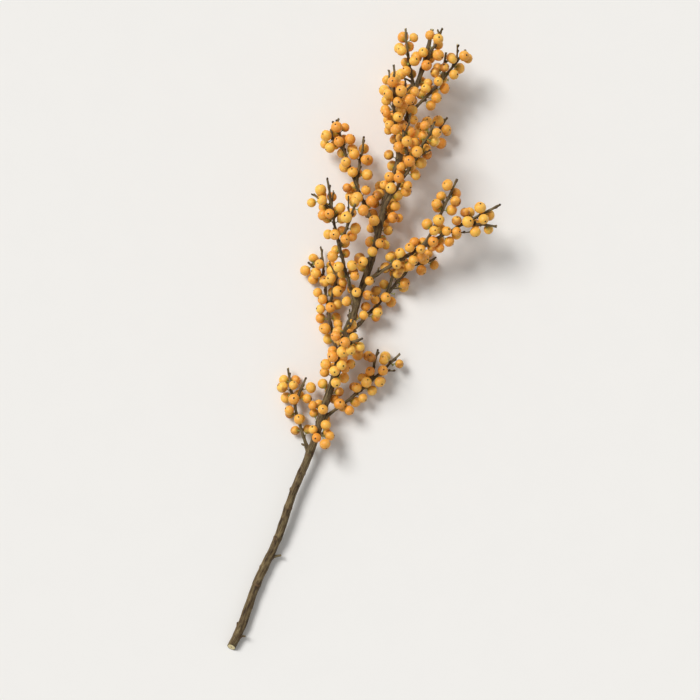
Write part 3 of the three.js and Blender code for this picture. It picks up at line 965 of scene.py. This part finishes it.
def berry_shells(shells, berries, draw):
    """Adds berries: the ball of six grids times the berry's radius, with its third direction along
    the berry. Two low waves of the turn round the berry, strongest at its equator, make it uneven,
    it is a little shorter than wide, and its two poles are pulled in to make the dimples."""
    centre, direction, radius = columns_of(berries, "centre", "direction", "radius")
    points, squares = ball()
    chance = np.array([[draw(0, 1) for _ in range(BERRY_CHANCES)] for _ in berries])
    turn = np.arctan2(points[:, 1], points[:, 0])
    girth = np.hypot(points[:, 0], points[:, 1])
    waves = sum(height * np.sin(lobes * turn + TURN * chance[:, column:column + 1])
                for column, (lobes, height) in enumerate(BERRY_WAVES))
    out = radius[:, None] * (1 + BERRY_LUMPS * waves * girth)
    pole = points[:, 2]
    dimple = np.where(pole > POLE, EYE_DIMPLE, np.where(pole < -POLE, STALK_DIMPLE, 1.0))
    right, upper = across(direction)
    places = (centre[:, None] + (out * points[:, 0])[..., None] * upper[:, None]
              + (out * points[:, 1])[..., None] * right[:, None]
              + ((radius * length_share(radius))[:, None] * pole * dimple)[..., None] * direction[:, None])
    tone = chance[:, 2:3] ** TONE_POWER
    blemish = np.where(chance[:, 3:4] < BRUISED, BRUISE, 0.0)
    shells.join(places, (squares,), {name: np.broadcast_to(value, places.shape[:2]) for name, value in (
        ("pole", pole), ("tone", tone), ("blemish", blemish))})


def stalk_shells(shells, berries, settings, draw):
    """Adds stalks: rings along a curve with three control points, from inside the wood, out past
    the bark and over to the berry, then the swollen end of the stalk and the calyx that lies on
    the berry. Every second point of the calyx ring is a lobe's tip, the others lie between lobes."""
    centre, direction, radius, root, out, inside, stalk = columns_of(
        berries, "centre", "direction", "radius", "root", "out", "inside", "stalk")
    thickness = settings.radius / MM
    reach = settings.calyx / MM
    half = radius * length_share(radius)
    end = centre - direction * half[:, None]
    first = root - out * (STALK_INSIDE * inside)[:, None]
    middle = root + out * (STALK_BEND * stalk)[:, None]
    t = np.array(STALK_T)[:, None]
    curve = (first[:, None] * (1 - t) ** 2 + middle[:, None] * 2 * t * (1 - t) + end[:, None] * t ** 2)
    ahead = unit((middle - first)[:, None] * (1 - t) + (end - middle)[:, None] * t)
    on_berry = -np.sqrt(np.maximum(radius ** 2 - (CALYX_LIES * reach) ** 2, 0)) * length_share(radius)
    lobes_in, rim_in, middle_in = CALYX_DEPTHS
    places = np.stack([-half - CALYX_SWELL, on_berry + lobes_in, on_berry + rim_in], -1)
    centres = np.concatenate([curve, centre[:, None] + direction[:, None] * places[..., None]], 1)
    ahead = np.concatenate([ahead, np.repeat(direction[:, None], 3, 1)], 1)
    least = np.eye(3)[np.argmin(np.abs(direction), axis=-1)][:, None]
    right = unit(np.cross(ahead, least))
    upper = np.cross(right, ahead)
    lobes = np.where(np.arange(STALK_SIDES) % 2 == 0, reach, CALYX_NOTCH * reach)
    rings = np.stack([*[np.full(STALK_SIDES, thickness * share) for share in STALK_SHARES],
                      lobes, CALYX_NARROWS * lobes])
    rings = np.broadcast_to(rings, (len(berries), *rings.shape))
    inner = centre + direction * (on_berry + middle_in)[:, None]
    points = rounds(centres, right, upper, rings, first - (middle - first) * STALK_CLOSES, inner)
    along = np.append(np.repeat(STALK_ALONG, STALK_SIDES), [0.0, 1.0])
    dry = np.array([draw(0, 1) for _ in berries])[:, None] * STALK_DRIES
    size = (len(berries), len(along))
    shells.add(points, STALK_SIDES, along=np.broadcast_to(along, size), tone=np.broadcast_to(dry, size))


def linear(hex_colour):
    """An sRGB hex colour as linear red, green, blue and alpha."""
    shares = [int(hex_colour[i:i + 2], 16) / 255 for i in (1, 3, 5)]
    return (*[c / 12.92 if c <= 0.04045 else ((c + 0.055) / 1.055) ** 2.4 for c in shares], 1.0)


def add(tree, kind, inputs=(), **settings):
    """Adds a node, sets its properties, and sets or links each input, given by its name or number."""
    node = tree.nodes.new(kind)
    for key, value in settings.items():
        setattr(node, key, value)
    for key, value in dict(inputs).items():
        if isinstance(value, bpy.types.NodeSocket):
            tree.links.new(value, node.inputs[key])
        else:
            node.inputs[key].default_value = value
    return node


def start_material(name, *attributes):
    """An empty node material: the material, its tree, Object coordinates and the named values."""
    material = bpy.data.materials.new(name)
    material.use_nodes = True
    tree = material.node_tree
    tree.nodes.clear()
    place = add(tree, "ShaderNodeTexCoord").outputs["Object"]
    values = [add(tree, "ShaderNodeAttribute", attribute_name=key).outputs["Fac"] for key in attributes]
    return material, tree, place, *values


def finish_material(tree, base, tints, rough, raised, **constants):
    """Lays the tints over the base colour in order, and joins colour, roughness and bump to the
    surface shader. A tint is a value, where it starts and where it is full, its share when full and
    its colour. rough is a value with the roughness at 0 and at 1. raised is a height with the
    bump's strength and its depth in metres. Constants are set on the shader's own sockets. A Mix
    node has its colours at the inputs 6 and 7 and at the output 2."""
    for value, starts, full, share, tint in tints:
        amount = add(tree, "ShaderNodeMapRange", {"Value": value, "From Min": starts, "From Max": full,
                                                  "To Max": share}).outputs[0]
        base = add(tree, "ShaderNodeMix", {0: amount, 6: base, 7: tint}, data_type="RGBA").outputs[2]
    roughness = add(tree, "ShaderNodeMapRange", dict(zip(("Value", "To Min", "To Max"), rough)))
    bump = add(tree, "ShaderNodeBump", dict(zip(("Height", "Strength", "Distance"), raised)))
    shader = add(tree, "ShaderNodeBsdfPrincipled", {
        "Base Color": base, "Roughness": roughness.outputs[0], "Normal": bump.outputs[0],
        **{key.replace("_", " "): value for key, value in constants.items()}})
    add(tree, "ShaderNodeOutputMaterial", {"Surface": shader.outputs["BSDF"]})


def bark(name, settings, pale_share):
    """Winterberry bark: thin, smooth and matt, drying since it was cut.

    The eye sees an olive-brown skin with soft paler and darker streaks along it, a grey bloom in
    patches 4 mm wide and 9 mm long, pale corky pores and rust-brown leaf scars. Streaks, pores and
    fibre are really 0.4 mm wide or less. They are drawn coarser, so that they show: streaks of
    1.3 mm by 13 mm, pores up to 1 mm across in cells of 2 mm, and fibre of 0.4 mm by 2.4 mm.
    """
    material, tree, _, age, scar, node = start_material(name, "age", "scar", "node")
    grain = add(tree, "ShaderNodeAttribute", attribute_name="grain").outputs["Vector"]
    scales = ((800, 800, 75), (260, 260, 110), (2400, 2400, 420), (460, 460, 560))
    *places, pores_at = [add(tree, "ShaderNodeMapping", {"Vector": grain, "Scale": scale}).outputs[0]
                         for scale in scales]
    streak, patch, fibre = [
        add(tree, "ShaderNodeTexNoise", {"Vector": place, "Scale": 1.0, "Detail": detail}).outputs["Fac"]
        for place, detail in zip(places, (4.0, 3.0, 3.0))]
    cells = add(tree, "ShaderNodeTexVoronoi", {"Vector": pores_at, "Scale": 1.0, "Randomness": 1.0})
    luck = add(tree, "ShaderNodeSeparateColor", {0: cells.outputs["Color"]}).outputs[0]
    size = add(tree, "ShaderNodeMapRange", {"Value": luck, "From Min": 0.45, "To Max": 0.24}).outputs[0]
    distance = cells.outputs["Distance"]
    pore = add(tree, "ShaderNodeMath", {0: size, 1: distance}, operation="SUBTRACT").outputs[0]
    pore = add(tree, "ShaderNodeMapRange", {"Value": pore, "From Max": 0.05}).outputs[0]
    height = streak
    for value, share in ((fibre, 0.6), (pore, 0.5)):
        height = add(tree, "ShaderNodeMath", {0: value, 1: share, 2: height},
                     operation="MULTIPLY_ADD").outputs[0]
    dark = settings.bark_shadow
    # The node value lays the dark colour on as darker rings at the nodes and as painted shade in each
    # crotch.
    finish_material(tree, settings.young_bark, (
        (age, 0.0, 1.0, 1.0, settings.old_bark), (patch, 0.48, 0.34, 0.7, dark),
        (streak, 0.46, 0.66, pale_share, settings.bark_streak), (streak, 0.46, 0.3, 0.42, dark),
        (patch, 0.52, 0.66, 0.7, settings.bark_bloom), (fibre, 0.5, 0.3, 0.4, dark),
        (pore, 0.0, 1.0, 0.62, settings.pore), (node, 0.0, 1.25, 0.75, dark),
        (scar, 0.0, 1.0, 0.6, settings.scar)),
        (streak, 0.62, 0.85), (height, 0.7, 0.0004), Specular_IOR_Level=0.25)
    return material


def berry_skin(settings):
    """The skin of a ripe golden winterberry: taut and waxy over soft flesh.

    The eye sees a satin highlight, a golden face that is deeper orange on some berries, a greener
    shoulder round the stalk, faint mottling 2 mm across, pale dots of 0.3 mm drawn as 0.6 mm, and
    a brown ring where the flower's remnant meets the skin.
    """
    material, tree, place, pole, tone, blemish = start_material("waxy_berry_skin", "pole", "tone", "blemish")
    mottle, broad = [
        add(tree, "ShaderNodeTexNoise", {"Vector": place, "Scale": scale, "Detail": detail}).outputs["Fac"]
        for scale, detail in ((420.0, 3.0), (130.0, 1.0))]
    dots = add(tree, "ShaderNodeTexVoronoi", {"Vector": place, "Scale": 700.0}).outputs["Distance"]
    shoulder = add(tree, "ShaderNodeMath", {0: mottle, 1: 0.5, 2: pole}, operation="MULTIPLY_ADD").outputs[0]
    bruise = add(tree, "ShaderNodeMapRange", {"Value": broad, "From Min": 0.4, "From Max": 0.6}).outputs[0]
    bruise = add(tree, "ShaderNodeMath", {0: bruise, 1: blemish}, operation="MULTIPLY").outputs[0]
    finish_material(tree, settings.golden, (
        (tone, 0.0, 1.0, 1.0, settings.orange), (broad, 0.42, 0.7, 0.55, settings.orange),
        (mottle, 0.5, 0.75, 0.4, settings.pale), (dots, 0.24, 0.12, 0.28, settings.pale),
        (shoulder, -0.3, -0.75, 0.6, settings.green), (pole, 0.955, 0.99, 0.8, settings.halo),
        (bruise, 0.0, 1.0, 1.0, settings.brown)),
        (mottle, 0.36, 0.56), (mottle, 0.25, 0.0003), Specular_IOR_Level=0.45,
        Subsurface_Weight=0.22, Subsurface_Radius=(1.0, 0.45, 0.12), Subsurface_Scale=0.0022)
    return material


def stalk_skin(settings):
    """A fruit stalk and its calyx: green and faintly mottled, browner where it leaves the twig."""
    material, tree, place, along, tone = start_material("green_fruit_stalk", "along", "tone")
    mottle = add(tree, "ShaderNodeTexNoise", {"Vector": place, "Scale": 900.0, "Detail": 3.0}).outputs["Fac"]
    dry = add(tree, "ShaderNodeMapRange", {"Value": along, "From Min": 0.55, "From Max": 0.0}).outputs[0]
    dry = add(tree, "ShaderNodeMath", {0: dry, 1: tone}, operation="MAXIMUM").outputs[0]
    finish_material(tree, settings.green, (
        (dry, 0.0, 1.0, 1.0, settings.dry), (mottle, 0.45, 0.7, 0.6, settings.pale)),
        (mottle, 0.5, 0.75), (mottle, 0.5, 0.0002), Specular_IOR_Level=0.4)
    return material


def dark_remnant(name, base, edge, roughness, scale):
    """A small dry dark thing, such as a bud scale or the flower's remnant: matt, with a paler bloom."""
    material, tree, place = start_material(name)
    mottle = add(tree, "ShaderNodeTexNoise", {"Vector": place, "Scale": scale, "Detail": 3.0}).outputs["Fac"]
    finish_material(tree, base, ((mottle, 0.42, 0.68, 1.0, edge),), (mottle, roughness, roughness + 0.2),
                    (mottle, 0.5, 0.0002), Specular_IOR_Level=0.35)
    return material


def cut_wood(settings):
    """End grain: a brown pith a fifth as wide as the wood, cream wood with faint rings, green bast
    and the bark's rim. The bottom cut is fresh, and the pruned tips have weathered to a grey brown."""
    material, tree, place, share, fresh = start_material("cut_end_grain", "share", "fresh")
    fibre = add(tree, "ShaderNodeTexNoise", {"Vector": place, "Scale": 1600.0, "Detail": 3.0}).outputs["Fac"]
    wobble = add(tree, "ShaderNodeMath", {0: fibre, 1: 0.12, 2: share}, operation="MULTIPLY_ADD").outputs[0]
    waves = add(tree, "ShaderNodeMath", {0: wobble, 1: 24.0}, operation="MULTIPLY").outputs[0]
    waves = add(tree, "ShaderNodeMath", {0: waves}, operation="SINE").outputs[0]
    finish_material(tree, settings.wood, (
        (waves, 0.2, 1.0, 0.5, settings.ring), (wobble, 0.28, 0.16, 1.0, settings.pith),
        (wobble, 0.93, 0.97, 1.0, settings.bast), (wobble, 0.98, 1.02, 1.0, settings.rim),
        (fresh, 1.0, 0.0, 0.62, settings.weathered)),
        (fibre, 0.7, 0.9), (fibre, 0.5, 0.0002), Specular_IOR_Level=0.3)
    return material


def floor_finish(settings):
    """Matt pale card under the branch, with a faint unevenness some 40 mm across."""
    material, tree, place = start_material("matt_pale_card")
    cloud = add(tree, "ShaderNodeTexNoise", {"Vector": place, "Scale": 25.0, "Detail": 2.0}).outputs["Fac"]
    finish_material(tree, settings.floor, ((cloud, 0.0, 1.0, 0.06, (0.6, 0.6, 0.6, 1.0)),),
                    (cloud, 0.85, 0.95), (cloud, 0.05, 0.001), Specular_IOR_Level=0.2)
    return material


def colour(hex_colour, name, description):
    """A colour setting with its default in hex."""
    return FloatVectorProperty(name=name, description=description, subtype="COLOR", size=4,
                               min=0.0, max=1.0, default=linear(hex_colour))


def setting(default, low, high, name, description, unit="NONE"):
    """A number setting: in metres where its unit is LENGTH, in radians where it is ROTATION."""
    subtype = {"LENGTH": "DISTANCE", "ROTATION": "ANGLE"}.get(unit, "NONE")
    return FloatProperty(name=name, description=description, subtype=subtype, unit=unit,
                         default=default, min=low, max=high)


class WoodSettings(bpy.types.PropertyGroup):
    """The look of the bark, the buds and the cuts."""

    young_bark: colour("#64563B", "Young bark", "Skin of the thin shoots")
    old_bark: colour("#513E28", "Old bark", "Skin of the main stem's lower end")
    bark_streak: colour("#99885F", "Streaks", "Paler streaks along the bark")
    # The dark colour is also the painted shade in each crotch and the darker rings at the nodes.
    bark_shadow: colour("#23160D", "Dark streaks", "Darker streaks and the creases at the nodes")
    bark_bloom: colour("#84714E", "Bloom", "Grey bloom in patches")
    pore: colour("#A3937A", "Pores", "Pale corky pores")
    scar: colour("#6D5137", "Leaf scars", "Leaf scars under the buds")
    bud: colour("#35271A", "Buds", "Bud scales")
    bud_edge: colour("#6A5236", "Bud edges", "Paler edges of the bud scales")
    wood: colour("#E3D3A4", "Cut wood", "Freshly cut wood")
    ring: colour("#CDB983", "Ring", "Yearly rings in the cut")
    pith: colour("#8A6B42", "Pith", "Pith in the middle of the cut")
    bast: colour("#8F8F56", "Bast", "Green layer under the bark")
    rim: colour("#4A3C28", "Rim", "Bark at the rim of the cut")
    weathered: colour("#6F6349", "Weathered wood", "What old cuts turn to")


class BerrySettings(bpy.types.PropertyGroup):
    """The look of the berries."""

    golden: colour("#F7C150", "Golden", "The lighter berries")
    orange: colour("#E89630", "Orange", "The deeper berries and the flush on the others")
    pale: colour("#FBD880", "Pale", "Pale mottling and dots")
    green: colour("#C9B03C", "Green", "The shoulder round the stalk")
    halo: colour("#8A4F1C", "Halo", "The ring round the flower's remnant")
    brown: colour("#9C5A22", "Brown", "Bruises on a few berries")
    remnant: colour("#26190F", "Remnant", "The flower's remnant at the free end")
    remnant_edge: colour("#49331F", "Remnant's edge", "Paler flecks on the flower's remnant")
    remnant_radius: setting(0.00088, 0.0004, 0.0015, "Remnant radius",
                            "Half the width of the flower's remnant", "LENGTH")


class StalkSettings(bpy.types.PropertyGroup):
    """The size and look of the fruit stalks."""

    radius: setting(0.00048, 0.0002, 0.001, "Stalk radius", "Half the thickness of a fruit stalk", "LENGTH")
    calyx: setting(0.00175, 0.0008, 0.003, "Calyx radius", "Reach of the calyx lobes from the middle",
                   "LENGTH")
    green: colour("#8C9440", "Green", "Fresh stalk and calyx")
    dry: colour("#6B5634", "Dry", "Browner stalk at the twig")
    pale: colour("#B5B968", "Pale", "Pale mottling of the stalk")


class StageSettings(bpy.types.PropertyGroup):
    """The table, the lights and the camera."""

    floor: colour("#EFEDE9", "Floor", "The pale card under the branch")
    lens: setting(85.0, 20, 200, "Lens", "Focal length in millimetres")
    height: setting(1.80, 0.5, 6, "Camera height", "Height of the camera over the table", "LENGTH")
    lean: setting(math.radians(19), -3.14, 3.14, "Lean", "How far the stem leans in the picture", "ROTATION")
    key: setting(2.6, 0, 20, "Key light", "Strength of the key light in watts per square metre")
    key_width: setting(math.radians(24), 0.01, 3, "Key width", "How wide the key light looks", "ROTATION")
    walls: setting(0.88, 0, 3, "Walls", "Brightness of the studio round the branch")
    ceiling: setting(0.38, 0, 3, "Ceiling", "Brightness of the studio over the branch")


class BranchSettings(bpy.types.PropertyGroup):
    """Everything that a user would change."""

    wood: PointerProperty(type=WoodSettings)
    berries: PointerProperty(type=BerrySettings)
    stalks: PointerProperty(type=StalkSettings)
    stage: PointerProperty(type=StageSettings)


class WINTERBERRY_OT_wood(bpy.types.Operator):
    """Grow the bark of the main stem and of each side shoot with its twigs and spurs"""

    bl_idname = "winterberry.wood"
    bl_label = "Wood"

    def execute(self, context):
        settings = context.scene.winterberry.wood
        old = bark("weathered_winterberry_bark", settings, 0.55)
        young = bark("young_winterberry_bark", settings, 0.7)
        for owner, name, growths in by_solid():
            shells = Shells()
            for index, growth in growths:
                axis = growth["axis"]
                carried = [other["axis"] for other in branch() if other["axis"].bearer is axis]
                rings = (STEM_SIDES, STEM_STEP) if axis.bearer is None else (SHOOT_SIDES, SHOOT_STEP)
                draw = draws(BARK_SEED + int(axis.length * 10) + owner)
                wood(shells, axis, growth["nodes"], carried, *rings, draw, tips()[index])
                for spur in growth["stubs"]:
                    wood(shells, spur, [], [], STUB_SIDES, STUB_STEP, draw, BROKEN)
            shells.build(f"{name}_wood", young if owner else old, "young_bark" if owner else "bark", name)
        return {"FINISHED"}


class WINTERBERRY_OT_cut_faces(bpy.types.Operator):
    """Make the cut faces: the slanting cut at the bottom and the pruned tips"""

    bl_idname = "winterberry.cut_faces"
    bl_label = "Cut faces"

    def execute(self, context):
        shells = Shells()
        stem = next(growth["axis"] for growth in branch() if growth["axis"].bearer is None)
        cut_face(shells, stem, 0.0, -1, CUT_SLANT, math.pi / 2, 1.0)
        for growth, tip in zip(branch(), tips()):
            if tip["cut"]:
                cut_face(shells, growth["axis"], growth["axis"].length, 1, tip["slant"], tip["turn"],
                         tip["fresh"])
        shells.build("cut_faces", cut_wood(context.scene.winterberry.wood), "cut_wood")
        return {"FINISHED"}


class WINTERBERRY_OT_buds(bpy.types.Operator):
    """Set a small blunt bud over every leaf scar and on the tips that were never pruned"""

    bl_idname = "winterberry.buds"
    bl_label = "Buds"

    def execute(self, context):
        settings = context.scene.winterberry.wood
        rows = []
        for index, (growth, tip) in enumerate(zip(branch(), tips())):
            axis = growth["axis"]
            draw = draws(BUD_SEED + index)
            for s, around in growth["nodes"]:
                size, lean_deg = several(draw, BUD_DRAWS)
                lean = math.radians(lean_deg)
                if axis.bearer is not None and s < FIRST_BUD or s > axis.length - BUD_BELOW_TIP:
                    continue
                ahead = axis.frame(s)[0]
                out = axis.outward(s, around)
                rows.append((axis.point(s + BUD_PAST_NODE) + out * axis.radius(s) * BUD_SEAT,
                             ahead * math.cos(lean) + out * math.sin(lean), size))
            if not tip["cut"]:
                end = axis.length
                rows.append((axis.point(end - BUD_PAST_NODE), axis.frame(end)[0], TIP_BUD_SIZE))
        origin, direction, size = [np.array(column) for column in zip(*rows)]
        rings = np.repeat((np.array(BUD_RADIUS) * size[:, None])[..., None], BUD_SIDES, 2)
        material = dark_remnant("dry_bud_scales", settings.bud, settings.bud_edge, 0.6, 1100.0)
        knobs("buds", material, "young_bark", origin, direction, np.array(BUD_ALONG) * size[:, None],
              rings, [size * end for end in BUD_ENDS])
        return {"FINISHED"}


class WINTERBERRY_OT_berries(bpy.types.Operator):
    """Fill out the berries: slightly flattened and uneven rounds, dimpled at both ends"""

    bl_idname = "winterberry.berries"
    bl_label = "Berries"

    def execute(self, context):
        skin = berry_skin(context.scene.winterberry.berries)
        for _, name, growths in by_solid():
            shells = Shells()
            for index, growth in growths:
                if all_berries(growth):
                    berry_shells(shells, all_berries(growth), draws(SKIN_SEED + index))
            shells.build(f"{name}_berries", skin, "berry_skin", name)
        return {"FINISHED"}


class WINTERBERRY_OT_eyes(bpy.types.Operator):
    """Set the flower's dry remnant on the free end of every berry"""

    bl_idname = "winterberry.eyes"
    bl_label = "Berry eyes"

    def execute(self, context):
        settings = context.scene.winterberry.berries
        berries = [berry for growth in branch() for berry in all_berries(growth)]
        centre, direction, radius = columns_of(berries, "centre", "direction", "radius")
        size = settings.remnant_radius / MM * (EYE_SIZE[0] + EYE_SIZE[1] * picked(radius, EYE_PICK))
        top = centre + direction * (radius * length_share(radius) * EYE_DIMPLE)[:, None]
        draw = draws(EYE_SEED)
        ragged = 1 + EYE_RAGGED * np.array([[draw(-1, 1) for _ in range(EYE_SIDES)] for _ in berries])
        rings = (size[:, None] * np.array(EYE_RADIUS))[..., None] * ragged[:, None]
        material = dark_remnant("dry_flower_remnant", settings.remnant, settings.remnant_edge, 0.5, 1500.0)
        knobs("berry_eyes", material, "berry_eye", top, direction, np.array([EYE_ALONG]), rings, EYE_ENDS)
        return {"FINISHED"}


class WINTERBERRY_OT_stalks(bpy.types.Operator):
    """Draw the fruit stalks with their five-lobed calyx, and a few that have lost their berry"""

    bl_idname = "winterberry.stalks"
    bl_label = "Stalks"

    def execute(self, context):
        settings = context.scene.winterberry.stalks
        skin = stalk_skin(settings)
        for _, name, growths in by_solid():
            shells = Shells()
            for index, growth in growths:
                stalks = all_berries(growth) + growth["empty"]
                if stalks:
                    stalk_shells(shells, stalks, settings, draws(STALK_SEED + index))
            shells.build(f"{name}_stalks", skin, "berry_stalk", name)
        return {"FINISHED"}


class WINTERBERRY_OT_stage(bpy.types.Operator):
    """Lay the pale card, light it softly and look down on the branch"""

    bl_idname = "winterberry.stage"
    bl_label = "Stage"

    def execute(self, context):
        scene = context.scene
        settings = scene.winterberry.stage
        mesh = bpy.data.meshes.new("pale_card")
        corners = [(x * FLOOR_HALF, y * FLOOR_HALF, 0) for x, y in ((-1, -1), (1, -1), (1, 1), (-1, 1))]
        mesh.from_pydata(corners, [], [(0, 1, 2, 3)])
        mesh.materials.append(floor_finish(settings))
        floor = bpy.data.objects.new("pale_card", mesh)
        light = bpy.data.lights.new("key_light", "SUN")
        light.energy = settings.key
        light.angle = settings.key_width
        lamp = bpy.data.objects.new("key_light", light)
        lamp.location = Matrix.Rotation(settings.lean, 3, "Z") @ Vector(KEY_FROM)
        lamp.rotation_euler = lamp.location.to_track_quat("Z", "Y").to_euler()
        world = bpy.data.worlds.new("studio")
        world.use_nodes = True
        tree = world.node_tree
        tree.nodes.clear()
        direction = add(tree, "ShaderNodeTexCoord").outputs["Generated"]
        height = add(tree, "ShaderNodeSeparateXYZ", {0: direction}).outputs["Z"]
        glow = add(tree, "ShaderNodeMapRange", {
            "Value": height, "From Max": HORIZON_TO, "To Min": settings.walls,
            "To Max": settings.ceiling}).outputs[0]
        background = add(tree, "ShaderNodeBackground", {"Color": linear("#FFFFFF"), "Strength": glow})
        add(tree, "ShaderNodeOutputWorld", {"Surface": background.outputs[0]})
        scene.world = world
        camera = bpy.data.cameras.new("camera")
        camera.lens = settings.lens
        viewer = bpy.data.objects.new("camera", camera)
        viewer.location = (*CAMERA_AIM, settings.height)
        viewer.rotation_euler = (0, 0, settings.lean)
        for thing in (floor, lamp, viewer):
            scene.collection.objects.link(thing)
        scene.camera = viewer
        scene.view_settings.view_transform = "Standard"
        return {"FINISHED"}


OPERATORS = (WINTERBERRY_OT_wood, WINTERBERRY_OT_cut_faces, WINTERBERRY_OT_buds, WINTERBERRY_OT_berries,
             WINTERBERRY_OT_eyes, WINTERBERRY_OT_stalks, WINTERBERRY_OT_stage)


class WINTERBERRY_PT_branch(bpy.types.Panel):
    """Sizes, colours and steps of the branch"""

    bl_idname = "WINTERBERRY_PT_branch"
    bl_label = "Winterberry branch"
    bl_space_type = "VIEW_3D"
    bl_region_type = "UI"
    bl_category = "Winterberry"

    def draw(self, context):
        for key in ("wood", "berries", "stalks", "stage"):
            group = getattr(context.scene.winterberry, key)
            box = self.layout.box()
            box.label(text=key.capitalize())
            for name in group.bl_rna.properties.keys():
                if name not in ("rna_type", "name"):
                    box.prop(group, name)
        for operator in OPERATORS:
            self.layout.operator(operator.bl_idname)


CLASSES = (WoodSettings, BerrySettings, StalkSettings, StageSettings, BranchSettings, *OPERATORS,
           WINTERBERRY_PT_branch)


def register():
    """Registers the classes and hangs the settings on the scene."""
    for cls in CLASSES:
        bpy.utils.register_class(cls)
    bpy.types.Scene.winterberry = PointerProperty(type=BranchSettings)


def unregister():
    """Takes the settings and the classes away again."""
    del bpy.types.Scene.winterberry
    for cls in reversed(CLASSES):
        bpy.utils.unregister_class(cls)


def main():
    """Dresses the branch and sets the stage."""
    register()
    bpy.ops.winterberry.wood()
    bpy.ops.winterberry.cut_faces()
    bpy.ops.winterberry.buds()
    bpy.ops.winterberry.berries()
    bpy.ops.winterberry.eyes()
    bpy.ops.winterberry.stalks()
    bpy.ops.winterberry.stage()


if __name__ == "__main__":
    main()
